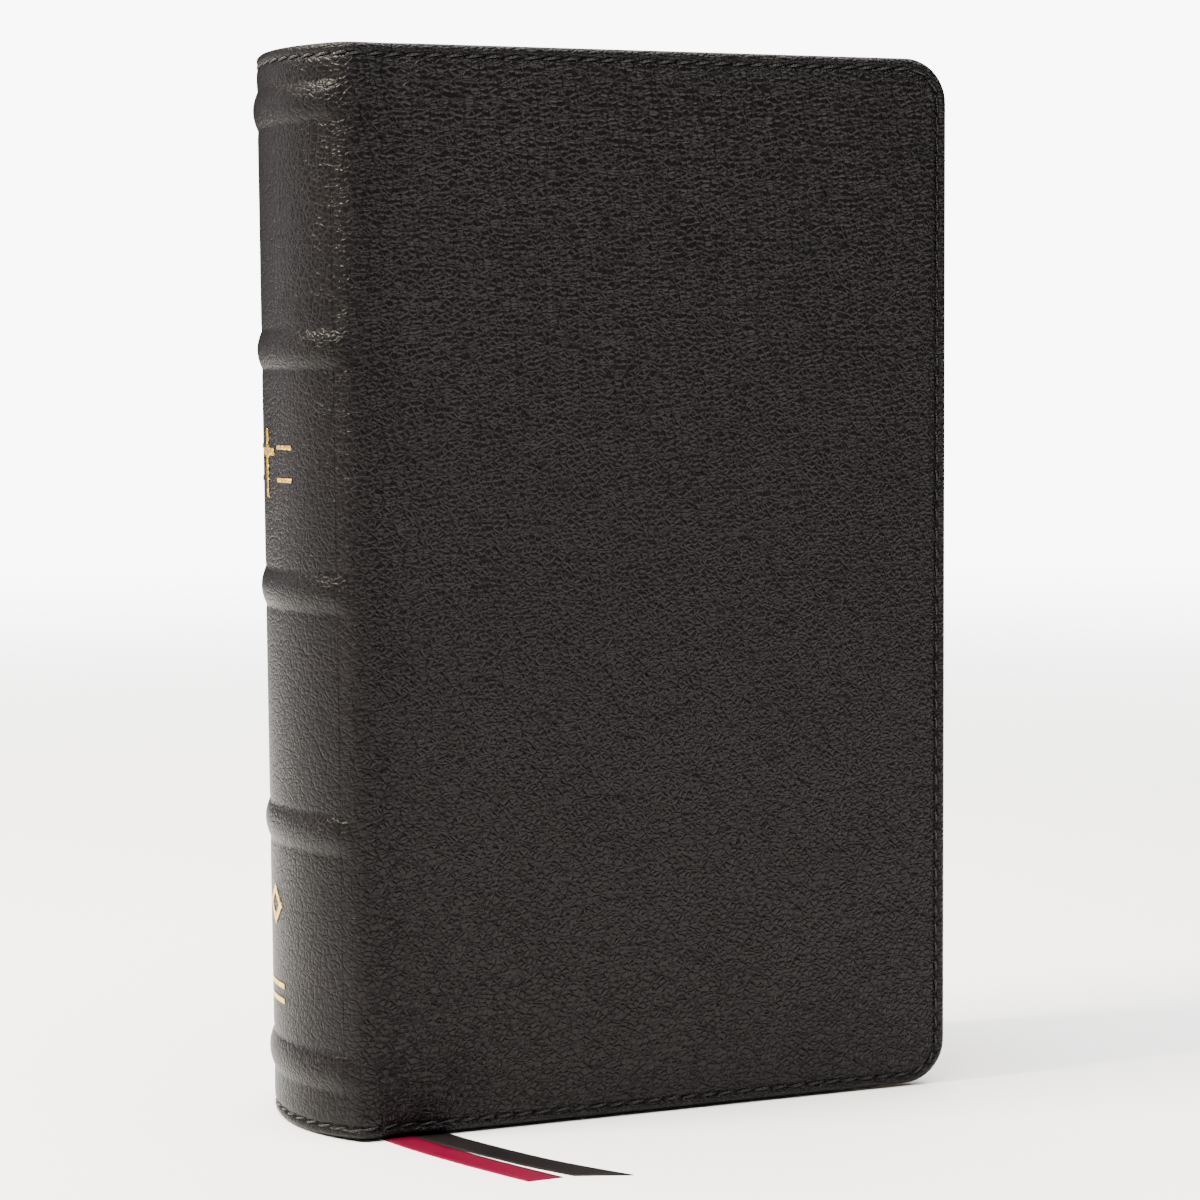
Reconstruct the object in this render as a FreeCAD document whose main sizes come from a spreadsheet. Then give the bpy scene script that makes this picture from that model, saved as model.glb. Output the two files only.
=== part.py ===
import FreeCAD, Part
import math
import os
import Sketcher

# A leather-bound bible that stands on its tail: its spine is towards -X, its fore-edge towards +X,
# its front cover towards -Y and its head up. The origin is under the middle of the closed book.
# Both covers turn about the outer edge of their joint, and the leaf groups between them fan out
# about the same two lines.

V = FreeCAD.Vector
doc = FreeCAD.newDocument("bible")
sheet = doc.addObject("Spreadsheet::Sheet", "Sizes")

SIZES = [
    ("book_height", 225, "tail to head, over the covers"),
    ("book_width", 146, "fore-edge of the covers to the crest of the raised bands"),
    ("book_thickness", 53, "front face to back face"),
    ("spine_rise", 11.1, "how far the rounded spine stands out behind the joints"),
    ("leather_thickness", 0.9, "cover leather"),
    ("board_thickness", 1.4, "cover board"),
    ("lining_thickness", 0.4, "lining inside each cover, and the leather turned in round it"),
    ("cover_corner", 9.5, "radius of a cover's two outer corners"),
    ("board_margin", 0.9, "board edge to cover edge, the leather that wraps it"),
    ("board_setback", 15, "joint to the board, the soft hinge of the cover"),
    ("turn_in", 12, "width of the leather turned in round the lining"),
    ("lining_setback", 2, "joint to the edge of the lining"),
    ("groove_centre", 9, "joint to the middle of the shallow groove beside the board"),
    ("groove_width", 13, "width of that groove"),
    ("groove_depth", 0.7, "depth of that groove"),
    ("front_lift", 0.5, "room under the front cover, where the ribbons come out"),
    ("hinge_gap", 0.35, "spine pieces to the line that the covers and leaves turn about"),
    ("cover_gap", 0.3, "cover to flyleaf"),
    ("flyleaf_thickness", 0.4, "front or back flyleaf with its endpaper"),
    ("leaf_gap", 0.25, "between two leaf groups that turn"),
    ("page_square", 3.5, "cover edge to leaf edge, at head, tail and fore-edge"),
    ("page_corner", 7, "radius of the leaves' outer corners"),
    ("signatures", 20, "folded sections in the text block"),
    ("stiffener_thickness", 0.8, "card that shapes the spine"),
    ("kraft_thickness", 0.4, "paper lining on the back of the block"),
    ("mull_thickness", 0.4, "glued gauze on the back of the block"),
    ("band_rise", 0.9, "raised band above the spine"),
    ("band_width", 6.6, "raised band at the spine's surface"),
    ("band_setback", 2, "end of a raised band to the end of the spine leather"),
    ("band_first", 13.9, "height of the lowest raised band"),
    ("band_pitch", 49.9, "from one raised band to the next"),
    ("thread_inset", 2.3, "cover edge to the middle of the stitch line"),
    ("thread_width", 0.6, "stitch line"),
    ("thread_depth", 0.3, "how deep the stitches are drawn into the leather"),
    ("thread_setback", 1, "joint to the end of each stitch line"),
    ("sewing_width", 0.9, "sewing thread across the backs of the sections"),
    ("headband_height", 2.2, "head band and tail band"),
    ("headband_depth", 2, "head band and tail band, towards the leaves"),
    ("foil_thickness", 0.1, "gold foil on the spine"),
    ("cross_height_z", 140, "middle of the foil cross"),
    ("cross_length", 14.4, "foil cross, upright"),
    ("cross_span", 9, "foil cross, arm"),
    ("cross_stroke", 1.6, "foil cross, width of a bar"),
    ("line_length", 6, "foil line beside the cross"),
    ("line_stroke", 0.9, "foil line, height"),
    ("line_spread", 3.4, "foil lines, above and below the middle of the cross"),
    ("line_offset", 9.2, "foil lines, middle of the spine to the middle of a line"),
    ("lozenge_height_z", 46.4, "middle of the foil lozenge"),
    ("lozenge_side", 6.2, "foil lozenge, side"),
    ("lozenge_hole", 3.6, "foil lozenge, side of its opening"),
    ("rule_height_z", 27.8, "middle of the two foil rules"),
    ("rule_length", 10, "foil rule"),
    ("rule_stroke", 1.1, "foil rule, height"),
    ("rule_spread", 1.6, "foil rules, above and below their middle"),
    ("ribbon_width", 6.4, "marker ribbon"),
    ("ribbon_thickness", 0.2, "marker ribbon"),
    ("ribbon_gap", 0.5, "ribbon to the leaves in front of it"),
]

for row, (alias, value, note) in enumerate(SIZES, start=1):
    sheet.set(f"A{row}", note)
    sheet.set(f"B{row}", str(value))
    sheet.setAlias(f"B{row}", alias)
doc.recompute()


def read(formula):
    """The value of a formula of the sheet, in millimetres."""
    return float(sheet.evalExpression(formula))


# The lines and radii that the pieces share, as formulas of the sheet.
FORE_X = "(Sizes.book_width / 2)"
SPINE_X = "(Sizes.band_rise - Sizes.book_width / 2)"
HINGE_X = f"({SPINE_X} + Sizes.spine_rise)"
SPINE_SIDE_X = f"({HINGE_X} - Sizes.hinge_gap)"
SPINE_R = "((Sizes.book_thickness ^ 2 / 4 + Sizes.spine_rise ^ 2) / (2 * Sizes.spine_rise))"
CENTRE_X = f"({SPINE_X} + {SPINE_R})"
STIFFENER_R = f"({SPINE_R} - Sizes.leather_thickness)"
KRAFT_R = f"({STIFFENER_R} - Sizes.stiffener_thickness)"
MULL_R = f"({KRAFT_R} - Sizes.kraft_thickness)"
BLOCK_R = f"({MULL_R} - Sizes.mull_thickness)"
COVER_DEPTH = "(Sizes.leather_thickness + Sizes.board_thickness + Sizes.lining_thickness)"
FLYLEAF_DEPTH = f"({COVER_DEPTH} + Sizes.cover_gap)"
BLOCK_DEPTH = f"({FLYLEAF_DEPTH} + Sizes.flyleaf_thickness + Sizes.leaf_gap)"
PAGE_HEIGHT = "(Sizes.book_height - 2 * Sizes.page_square)"
PAGE_TOP = "(Sizes.book_height - Sizes.page_square)"

FRONT, BACK = -1, 1
FRONT_TURNING = 4
BACK_TURNING = 2
BANDS = 5
SEWING_STATIONS = 5
REACH = 400

parts = {}


def bind(thing, **formulas):
    for name, formula in formulas.items():
        thing.setExpression(name.replace("__", "."), str(formula))


def keep(thing, label):
    """Give a finished piece its name and put it on the list of pieces to write."""
    thing.Label = label
    parts[label] = thing
    return thing


def depth(side, inwards):
    """The y of a plane that lies some depth inside the front or the back face."""
    return f"({side} * (Sizes.book_thickness / 2 - {inwards}))"


def origin_plane(body, role):
    return next(plane for plane in body.Origin.OriginFeatures if plane.Role == role)


def flat_sketch(body, role, name, offset):
    """A sketch on one of the body's own origin planes, moved along the plane's normal."""
    sketch = body.newObject("Sketcher::SketchObject", name)
    sketch.AttachmentSupport = (origin_plane(body, role), "")
    sketch.MapMode = "FlatFace"
    sketch.setExpression("AttachmentOffset.Base.z", str(offset))
    return sketch


def place_point(sketch, geometry, end, x, y):
    for kind, formula in (("DistanceX", x), ("DistanceY", y)):
        index = sketch.addConstraint(
            Sketcher.Constraint(kind, -1, 1, geometry, end, read(formula)))
        sketch.setExpression(f"Constraints[{index}]", formula)


def set_radius(sketch, geometry, radius):
    index = sketch.addConstraint(Sketcher.Constraint("Radius", geometry, read(radius)))
    sketch.setExpression(f"Constraints[{index}]", radius)


def draw_outline(sketch, near_x, far_x, bottom, top, corner):
    """An upright rectangle, its two far corners rounded where a corner radius is given."""
    if corner is None:
        points = [(near_x, bottom), (far_x, bottom), (far_x, top), (near_x, top)]
    else:
        points = [(near_x, bottom), (f"({far_x} - {corner})", bottom),
                  (far_x, f"({bottom} + {corner})"), (far_x, f"({top} - {corner})"),
                  (f"({far_x} - {corner})", top), (near_x, top)]
    rounded = () if corner is None else (1, 3)
    drawn = [V(read(x), read(y), 0) for x, y in points]
    for index, (start, end) in enumerate(zip(drawn, drawn[1:] + drawn[:1])):
        if index in rounded:
            size = read(corner)
            centre = V(read(far_x) - size, start.y if index == 3 else end.y, 0)
            circle = Part.Circle(centre, V(0, 0, 1), size)
            first = -math.pi / 2 if index == 1 else 0
            sketch.addGeometry(Part.ArcOfCircle(circle, first, first + math.pi / 2))
            set_radius(sketch, index, corner)
        else:
            sketch.addGeometry(Part.LineSegment(start, end))
    count = len(points)
    for index in range(count):
        sketch.addConstraint(Sketcher.Constraint("Coincident", index, 2, (index + 1) % count, 1))
    for index, (x, y) in enumerate(points):
        place_point(sketch, index, 1, x, y)


def panel(name, low_y, thickness, near_x, far_x, bottom, top, corner=None, slant="0"):
    """A flat upright piece, from low_y backwards. A slant moves its back face along X."""
    body = doc.addObject("PartDesign::Body", name)
    sketch = flat_sketch(body, "XZ_Plane", name + "_outline", f"-{low_y}")
    draw_outline(sketch, near_x, far_x, bottom, top, corner)
    pad = body.newObject("PartDesign::Pad", name + "_pad")
    pad.Profile = sketch
    pad.UseCustomVector = True
    pad.AlongSketchNormal = True
    pad.Direction = V(0, 1, 0)
    bind(pad, Length=thickness, Direction__x=slant, Direction__y=thickness)
    doc.recompute()
    return body


def face_panel(name, side, outer, inner, near_x, far_x, bottom, top, corner=None):
    """A panel between two depths inside the front or the back face of the book."""
    low_y = depth(side, outer if side == FRONT else inner)
    return panel(name, low_y, f"({inner} - {outer})", near_x, far_x, bottom, top, corner)


def cylinder(name, radius, bottom, height):
    """An upright cylinder about the line that the rounded spine is struck from."""
    solid = doc.addObject("Part::Cylinder", name)
    bind(solid, Radius=radius, Height=height, Placement__Base__x=CENTRE_X, Placement__Base__z=bottom)
    return solid


def box(name, low_x, high_x, low_y, high_y, low_z, high_z):
    solid = doc.addObject("Part::Box", name)
    bind(solid, Length=f"{high_x} - {low_x}", Width=f"{high_y} - {low_y}", Height=f"{high_z} - {low_z}")
    bind(solid, Placement__Base__x=low_x, Placement__Base__y=low_y, Placement__Base__z=low_z)
    return solid


def cut(name, base, tool):
    result = doc.addObject("Part::Cut", name)
    result.Base = base
    result.Tool = tool
    return result


def common(name, base, tool):
    result = doc.addObject("Part::Common", name)
    result.Base = base
    result.Tool = tool
    return result


def fuse(name, pieces):
    result = doc.addObject("Part::MultiFuse", name)
    result.Shapes = pieces
    return result


# Everything that stays on the spine ends just short of the line that the covers turn about.
spine_side = box("spine_side", -REACH, SPINE_SIDE_X, -REACH, REACH, -REACH, REACH)
band_side = box("band_side", -REACH, f"({SPINE_SIDE_X} - Sizes.band_setback)",
                -REACH, REACH, -REACH, REACH)
stitch_side = box("stitch_side", -REACH, f"({HINGE_X} - Sizes.thread_setback)",
                  -REACH, REACH, -REACH, REACH)
leaf_side = box("leaf_side", HINGE_X, REACH, -REACH, REACH, -REACH, REACH)


def ring(name, inner, outer, bottom, height, side=spine_side):
    """A curved strip that follows the spine, between two radii."""
    outside = cylinder(name + "_outside", outer, bottom, height)
    inside = cylinder(name + "_inside", inner, f"{bottom} - 1", f"{height} + 2")
    return common(name, cut(name + "_wall", outside, inside), side)


# ---- covers ------------------------------------------------------------------------------------

def cut_groove(body, side, sink, name):
    """The shallow hollow between the joint and the board, struck with a large radius."""
    half = "(Sizes.groove_width / 2)"
    radius = f"(({half} ^ 2 + Sizes.groove_depth ^ 2) / (2 * Sizes.groove_depth))"
    before = body.Shape.Volume
    sketch = flat_sketch(body, "XY_Plane", name + "_circle", "0")
    x = f"({HINGE_X} + Sizes.groove_centre)"
    y = depth(side, f"({sink} + Sizes.groove_depth - {radius})")
    sketch.addGeometry(Part.Circle(V(read(x), read(y), 0), V(0, 0, 1), read(radius)))
    set_radius(sketch, 0, radius)
    place_point(sketch, 0, 3, x, y)
    pocket = body.newObject("PartDesign::Pocket", name)
    pocket.Profile = sketch
    pocket.Type = "ThroughAll"
    pocket.Reversed = True
    doc.recompute()
    if body.Shape.Volume > before - 1:
        raise RuntimeError(f"{name} cuts nothing")


def make_slab(side, word, sink, bottom):
    """A cover's outer form, or the same form sunk some depth under its surface."""
    slab = face_panel(f"{word}_slab", side, sink, COVER_DEPTH, HINGE_X, FORE_X, bottom,
                      "Sizes.book_height", "Sizes.cover_corner")
    cut_groove(slab, side, sink, f"{word}_groove")
    return slab


def make_stitching(side, word, slab, bottom):
    """The thread round a cover's three free edges, as deep in the leather everywhere."""
    top = "Sizes.book_height"
    outer = "(Sizes.thread_inset - Sizes.thread_width / 2)"
    inner = "(Sizes.thread_inset + Sizes.thread_width / 2)"
    line = face_panel(
        f"{word}_thread_line", side, "0", COVER_DEPTH, f"({HINGE_X} + Sizes.thread_setback)",
        f"({FORE_X} - {outer})", f"({bottom} + {outer})", f"({top} - {outer})",
        f"(Sizes.cover_corner - {outer})")
    field = face_panel(
        f"{word}_thread_field", side, "(-1)", f"({COVER_DEPTH} + 1)", HINGE_X,
        f"({FORE_X} - {inner})", f"({bottom} + {inner})", f"({top} - {inner})",
        f"(Sizes.cover_corner - {inner})")
    channel = common(f"{word}_channel", slab, cut(f"{word}_thread_frame", line, field))
    under = make_slab(side, f"{word}_thread", "Sizes.thread_depth", bottom)
    return cut(f"{word}_thread_sunk", channel, under)


def make_cover(side, word, bottom):
    top = "Sizes.book_height"
    board_outer = "Sizes.leather_thickness"
    board_inner = "(Sizes.leather_thickness + Sizes.board_thickness)"

    slab = make_slab(side, word, "0", bottom)
    board = face_panel(
        f"{word}_board", side, board_outer, board_inner,
        f"({HINGE_X} + Sizes.board_setback)", f"({FORE_X} - Sizes.board_margin)",
        f"({bottom} + Sizes.board_margin)", f"({top} - Sizes.board_margin)",
        "(Sizes.cover_corner - Sizes.board_margin)")
    lining = face_panel(
        f"{word}_lining", side, board_inner, COVER_DEPTH,
        f"({HINGE_X} + Sizes.lining_setback)", f"({FORE_X} - Sizes.turn_in)",
        f"({bottom} + Sizes.turn_in)", f"({top} - Sizes.turn_in)")
    thread = make_stitching(side, word, slab, bottom)
    wrap = cut(f"{word}_wrap", cut(f"{word}_hollow", slab, board), lining)
    keep(cut(f"{word}_leather", wrap, thread), f"{word}_cover_leather")
    keep(board, f"{word}_cover_board")
    keep(lining, f"{word}_cover_lining")
    keep(thread, f"{word}_cover_stitching")


make_cover(FRONT, "front", "Sizes.front_lift")
make_cover(BACK, "back", "0")

# ---- spine -------------------------------------------------------------------------------------

BAND_R = "((Sizes.band_width ^ 2 / 4 + Sizes.band_rise ^ 2) / (2 * Sizes.band_rise))"


def band_height(number):
    return f"(Sizes.band_first + {number} * Sizes.band_pitch)"


def band_form(name, number, shrink):
    """A ring of round section that stands out of the spine by the band's rise, less a shrink."""
    torus = doc.addObject("Part::Torus", name)
    bind(torus, Radius1=f"{SPINE_R} + Sizes.band_rise - {BAND_R}", Radius2=f"{BAND_R} - {shrink}")
    bind(torus, Placement__Base__x=CENTRE_X, Placement__Base__z=band_height(number))
    return common(name + "_span", torus, band_side)


def spine_thread(word, middle):
    """A stitch line across the spine, drawn into its leather."""
    return keep(ring(f"{word}_stitches", f"({SPINE_R} - Sizes.thread_depth)", SPINE_R,
                     f"({middle} - Sizes.thread_width / 2)", "Sizes.thread_width", stitch_side),
                f"spine_{word}_stitching")


def make_spine_leather():
    """The skin over the spine, in lengths that meet beside each band, with a strip under each band."""
    height = "Sizes.book_height"
    reach = "(Sizes.band_width / 2 + 1)"
    tail_thread = spine_thread("tail", "Sizes.thread_inset")
    head_thread = spine_thread("head", f"({height} - Sizes.thread_inset)")
    lengths = []
    bottom = "0"
    for number in range(BANDS):
        word = f"band_{number + 1}"
        low = f"({band_height(number)} - {reach})"
        lengths.append(ring(f"skin_below_{word}", STIFFENER_R, SPINE_R, bottom, f"({low} - {bottom})"))
        bottom = f"({band_height(number)} + {reach})"

        crest = band_form(f"{word}_crest", number, "0")
        core = band_form(f"{word}_core", number, "Sizes.leather_thickness")
        round_out = cylinder(f"{word}_outside", SPINE_R, low, f"(2 * {reach})")
        round_in = cylinder(f"{word}_inside", STIFFENER_R, "-1", f"({height} + 2)")
        wall = cut(f"{word}_wall", fuse(f"{word}_solid", [round_out, crest]),
                   fuse(f"{word}_hollow", [round_in, core]))
        lengths.append(common(f"skin_over_{word}", wall, spine_side))
        keep(cut(f"{word}_strip", core, round_in), f"raised_{word}")
    lengths.append(ring("skin_above_bands", STIFFENER_R, SPINE_R, bottom, f"({height} - {bottom})"))
    lengths[0] = cut("skin_at_tail", lengths[0], tail_thread)
    lengths[-1] = cut("skin_at_head", lengths[-1], head_thread)
    leather = fuse("spine_skin", lengths)
    leather.Refine = False
    keep(leather, "spine_leather")


def make_spine():
    make_spine_leather()
    keep(ring("stiffener", KRAFT_R, STIFFENER_R, "Sizes.page_square", PAGE_HEIGHT), "spine_stiffener")
    keep(ring("kraft", MULL_R, KRAFT_R, "Sizes.page_square", PAGE_HEIGHT), "spine_kraft_lining")
    rows = []
    for number in range(SEWING_STATIONS):
        middle = f"(Sizes.page_square + {PAGE_HEIGHT} * {number + 0.5} / {SEWING_STATIONS})"
        rows.append(ring(f"sewing_{number + 1}", BLOCK_R, MULL_R,
                         f"({middle} - Sizes.sewing_width / 2)", "Sizes.sewing_width"))
    sewing = keep(fuse("sewing_rows", rows), "sewing_thread")
    gauze = ring("gauze", BLOCK_R, MULL_R, "Sizes.page_square", PAGE_HEIGHT)
    keep(cut("gauze_open", gauze, sewing), "spine_mull")

    band_in = f"({BLOCK_R} - Sizes.headband_depth)"
    keep(ring("head_roll", band_in, BLOCK_R, PAGE_TOP, "Sizes.headband_height"), "head_band")
    keep(ring("tail_roll", band_in, BLOCK_R, "(Sizes.page_square - Sizes.headband_height)",
              "Sizes.headband_height"), "tail_band")


make_spine()

# ---- gold foil on the spine --------------------------------------------------------------------

foil = ring("foil", SPINE_R, f"({SPINE_R} + Sizes.foil_thickness)", "0", "Sizes.book_height")


def stamp(name, across, upright, offset, height):
    """A block whose end, pressed on the spine, leaves a rectangle of foil."""
    return box(name, -REACH, CENTRE_X, f"({offset} - {across} / 2)", f"({offset} + {across} / 2)",
               f"({height} - {upright} / 2)", f"({height} + {upright} / 2)")


def turned_stamp(name, side, height):
    """The same, for a square that stands on a corner."""
    block = doc.addObject("Part::Box", name)
    block.Placement.Rotation = FreeCAD.Rotation(V(1, 0, 0), 45)
    bind(block, Length=f"{CENTRE_X} + {REACH}", Width=side, Height=side)
    bind(block, Placement__Base__x=-REACH, Placement__Base__z=f"{height} - {side} / sqrt(2)")
    return block


def make_foil():
    middle = "Sizes.cross_height_z"
    bars = [stamp("cross_upright", "Sizes.cross_stroke", "Sizes.cross_length", "0", middle),
            stamp("cross_arm", "Sizes.cross_span", "Sizes.cross_stroke", "0",
                  f"({middle} + Sizes.cross_length / 6)")]
    for y_sign in (-1, 1):
        for z_sign in (-1, 1):
            bars.append(stamp(
                f"cross_line_{len(bars)}", "Sizes.line_length", "Sizes.line_stroke",
                f"({y_sign} * Sizes.line_offset)", f"({middle} + {z_sign} * Sizes.line_spread)"))
    keep(common("cross_foil", foil, fuse("cross_stamp", bars)), "spine_foil_cross")

    frame = cut("lozenge_stamp",
                turned_stamp("lozenge_outer", "Sizes.lozenge_side", "Sizes.lozenge_height_z"),
                turned_stamp("lozenge_inner", "Sizes.lozenge_hole", "Sizes.lozenge_height_z"))
    keep(common("lozenge_foil", foil, frame), "spine_foil_lozenge")

    rules = [stamp(f"rule_{n + 1}", "Sizes.rule_length", "Sizes.rule_stroke", "0",
                   f"(Sizes.rule_height_z + {sign} * Sizes.rule_spread)")
             for n, sign in enumerate((-1, 1))]
    keep(common("rule_foil", foil, fuse("rule_stamp", rules)), "spine_foil_rules")


make_foil()

# ---- leaves ------------------------------------------------------------------------------------

TURNING_GAPS = f"({FRONT_TURNING - 1 + BACK_TURNING} * Sizes.leaf_gap)"
RIBBON_GAP = "(Sizes.ribbon_thickness + Sizes.ribbon_gap)"
SIGNATURE = (f"((Sizes.book_thickness - 2 * {BLOCK_DEPTH} - {TURNING_GAPS} - {RIBBON_GAP})"
             " / Sizes.signatures)")
BLOCK_FRONT_Y = depth(FRONT, BLOCK_DEPTH)


def back_x(y):
    """Where the rounded back of the block is, at a given y."""
    return f"({CENTRE_X} - sqrt({BLOCK_R} ^ 2 - {y} ^ 2))"


def fore_x(y):
    """Where the hollow fore-edge is: every leaf is as wide as the next."""
    leaf_width = f"({FORE_X} - Sizes.page_square - {back_x(BLOCK_FRONT_Y)})"
    return f"({back_x(y)} + {leaf_width})"


def signature_y(number, count):
    """The two faces of a section, counted from the front, with the gaps before it."""
    last_fixed = count - BACK_TURNING
    gaps = f"{min(number - 1, FRONT_TURNING - 1)} * Sizes.leaf_gap"
    if number > FRONT_TURNING:
        gaps += f" + {RIBBON_GAP}"
    if number > last_fixed:
        gaps += f" + {number - last_fixed} * Sizes.leaf_gap"
    near = f"({BLOCK_FRONT_Y} + {number - 1} * {SIGNATURE} + {gaps})"
    far = f"({BLOCK_FRONT_Y} + {number} * {SIGNATURE} + {gaps})"
    return near, far


def make_signature(number, count):
    """One section. Where its leaves turn, its sewn fold is cut off and stays with the spine."""
    near, far = signature_y(number, count)
    name = f"signature_{number:02d}"
    turns = number <= FRONT_TURNING or number > count - BACK_TURNING
    section = panel(name + "_section" if turns else name, near, SIGNATURE, back_x(near), fore_x(near),
                    "Sizes.page_square", PAGE_TOP, "Sizes.page_corner",
                    f"({back_x(far)} - {back_x(near)})")
    if not turns:
        keep(section, name)
        return None
    keep(common(name + "_leaves", section, leaf_side), name)
    if number in (1, count):
        return None
    return common(name + "_fold", section, spine_side)


def make_leaves():
    count = int(sheet.signatures)
    folds = [make_signature(number, count) for number in range(1, count + 1)]
    for word, group in (("front", folds[:FRONT_TURNING]), ("back", folds[-BACK_TURNING:])):
        group = [fold for fold in group if fold]
        keep(fuse(f"{word}_folds", group) if len(group) > 1 else group[0], f"{word}_sewn_folds")
    for side, word in ((FRONT, "front"), (BACK, "back")):
        leaf = face_panel(
            f"{word}_leaf", side, FLYLEAF_DEPTH, f"({FLYLEAF_DEPTH} + Sizes.flyleaf_thickness)",
            HINGE_X, f"({FORE_X} - Sizes.page_square)", "Sizes.page_square", PAGE_TOP,
            "Sizes.page_corner")
        keep(leaf, f"{word}_flyleaf")


make_leaves()

# ---- marker ribbons ----------------------------------------------------------------------------

# Each ribbon hangs between two sections, from the head down to the corner where it meets what the
# book stands on, and runs out forwards there. Points down the page are (x, z), and points on the
# floor are (x, y). The first point on the floor is the corner itself, moved to the page by RIBBON_Y.
RIBBON_Y = read(f"{signature_y(FRONT_TURNING + 1, int(sheet.signatures))[0]} - Sizes.ribbon_thickness / 2")

CRIMSON_PAGE = [(-60.4, 219), (-58.3, 175), (-56.5, 125), (-55.4, 81), (-54.9, 47), (-54.68, 24),
                (-54.6, 9), (-54.6, 0.1)]
CRIMSON_FLOOR = [(-54.6, -12.75), (-54.6, -20.25), (-51.2, -30.5), (-45.1, -44), (-38.6, -56.6),
                 (-34.1, -64.6)]
BLACK_PAGE = [(-53.4, 219), (-51.3, 175), (-49.5, 125), (-48.5, 81), (-48.05, 47), (-47.87, 24),
              (-47.8, 9), (-47.8, 0.1)]
BLACK_FLOOR = [(-47.8, -12.75), (-47.8, -20.25), (-44.2, -30.3), (-37.4, -43.6), (-29.8, -56.9),
               (-22.5, -66.3)]
ARC_SHARE = 0.45


class Strip:
    """A flat strip along a route in a plane: straight runs joined by tangent arcs."""

    def __init__(self, points, width, trim_start, trim_end, slant=0):
        self.points = [V(x, y, 0) for x, y in points]
        self.half = width / 2
        self.trim_start = trim_start
        self.trim_end = trim_end
        self.slant = slant
        self.radii = []
        self.length = 0

    def side(self, sign):
        """The edges of one side of the strip, from its start to its end."""
        points = self.points
        directions = [(b - a).normalize() for a, b in zip(points, points[1:])]
        normals = [V(-d.y, d.x, 0) for d in directions]
        here = points[0] + directions[0] * self.trim_start + normals[0] * self.half * sign
        edges = []
        length = (points[1] - points[0]).Length - self.trim_start
        for index in range(1, len(points) - 1):
            before, after = directions[index - 1], directions[index]
            turn = math.atan2(before.x * after.y - before.y * after.x, before.dot(after))
            runs = [(points[index] - points[index - 1]).Length, (points[index + 1] - points[index]).Length]
            reach = ARC_SHARE * min(runs)
            radius = reach / math.tan(abs(turn) / 2)
            way = math.copysign(1, turn)
            centre = points[index] - before * reach + normals[index - 1] * radius * way
            start = points[index] - before * reach + normals[index - 1] * self.half * sign
            end = points[index] + after * reach + normals[index] * self.half * sign
            middle = centre + (points[index] - centre).normalize() * (radius - sign * way * self.half)
            edges.append(Part.LineSegment(here, start).toShape())
            edges.append(Part.Arc(start, middle, end).toShape())
            here = end
            length += runs[1] - 2 * reach + radius * abs(turn)
            if sign > 0:
                self.radii.append(radius)
        stretch = sign * self.slant - self.trim_end
        last = points[-1] + directions[-1] * stretch + normals[-1] * self.half * sign
        edges.append(Part.LineSegment(here, last).toShape())
        self.length = length - self.trim_end
        return edges

    def face(self):
        left = self.side(1)
        right = self.side(-1)
        start = Part.LineSegment(right[0].Vertexes[0].Point, left[0].Vertexes[0].Point).toShape()
        end = Part.LineSegment(left[-1].Vertexes[-1].Point, right[-1].Vertexes[-1].Point).toShape()
        return Part.Face(Part.Wire(Part.__sortEdges__(left + right + [start, end])))


def make_ribbon(label, page, floor, slant):
    """A ribbon of three stretches: down the page, round the corner, and along the floor."""
    width = read("Sizes.ribbon_width")
    thick = read("Sizes.ribbon_thickness")
    fold = ARC_SHARE * min(page[-2][1] - page[-1][1], floor[0][1] - floor[1][1])
    floor = [(floor[0][0], RIBBON_Y)] + floor[1:]

    down = Strip(page, width, 0, fold)
    hanging = down.face()
    hanging.rotate(V(0, 0, 0), V(1, 0, 0), 90)
    hanging.translate(V(0, RIBBON_Y + thick / 2, 0))
    hanging = hanging.extrude(V(0, -thick, 0))

    along = Strip(floor, width, fold, 0, slant)
    lying = along.face().extrude(V(0, 0, thick))

    corner_x = page[-1][0] - width / 2
    centre = V(corner_x, RIBBON_Y - fold, page[-1][1] + fold)
    profile = Part.makeCircle(fold + thick / 2, centre, V(1, 0, 0), 270, 360)
    inside = Part.makeCircle(fold - thick / 2, centre, V(1, 0, 0), 270, 360)
    ends = [Part.makeLine(profile.Vertexes[i].Point, inside.Vertexes[i].Point) for i in (0, 1)]
    bend = Part.Face(Part.Wire(Part.__sortEdges__([profile, inside] + ends))).extrude(V(width, 0, 0))

    solid = hanging.fuse([bend, lying]).removeSplitter()
    length = down.length + along.length + fold * math.pi / 2
    ribbon = doc.addObject("Part::Feature", label)
    ribbon.Shape = solid
    ribbon.Placement = FreeCAD.Placement()
    keep(ribbon, label)
    radii = ", ".join(f"{r:.0f}" for r in down.radii + [fold] + along.radii)
    print(f"{label}: length {length:.1f} mm, radii {radii} mm, "
          f"volume {solid.Volume:.1f} against {length * width * thick:.1f} mm3")


make_ribbon("ribbon_crimson", CRIMSON_PAGE, CRIMSON_FLOOR, 1.7)
make_ribbon("ribbon_black", BLACK_PAGE, BLACK_FLOOR, 5.5)

# ---- check and write ---------------------------------------------------------------------------

doc.recompute()
for thing in doc.Objects:
    if "Invalid" in thing.State or "Error" in thing.State:
        raise RuntimeError(f"{thing.Label} did not compute: {thing.State}")
for label, thing in parts.items():
    shape = thing.Shape
    if shape.isNull() or not shape.isValid() or not shape.Solids:
        raise RuntimeError(f"{label} has no valid solid")

os.makedirs("parts", exist_ok=True)
for label, thing in parts.items():
    thing.Shape.exportStep(f"parts/{label}.step")

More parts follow.
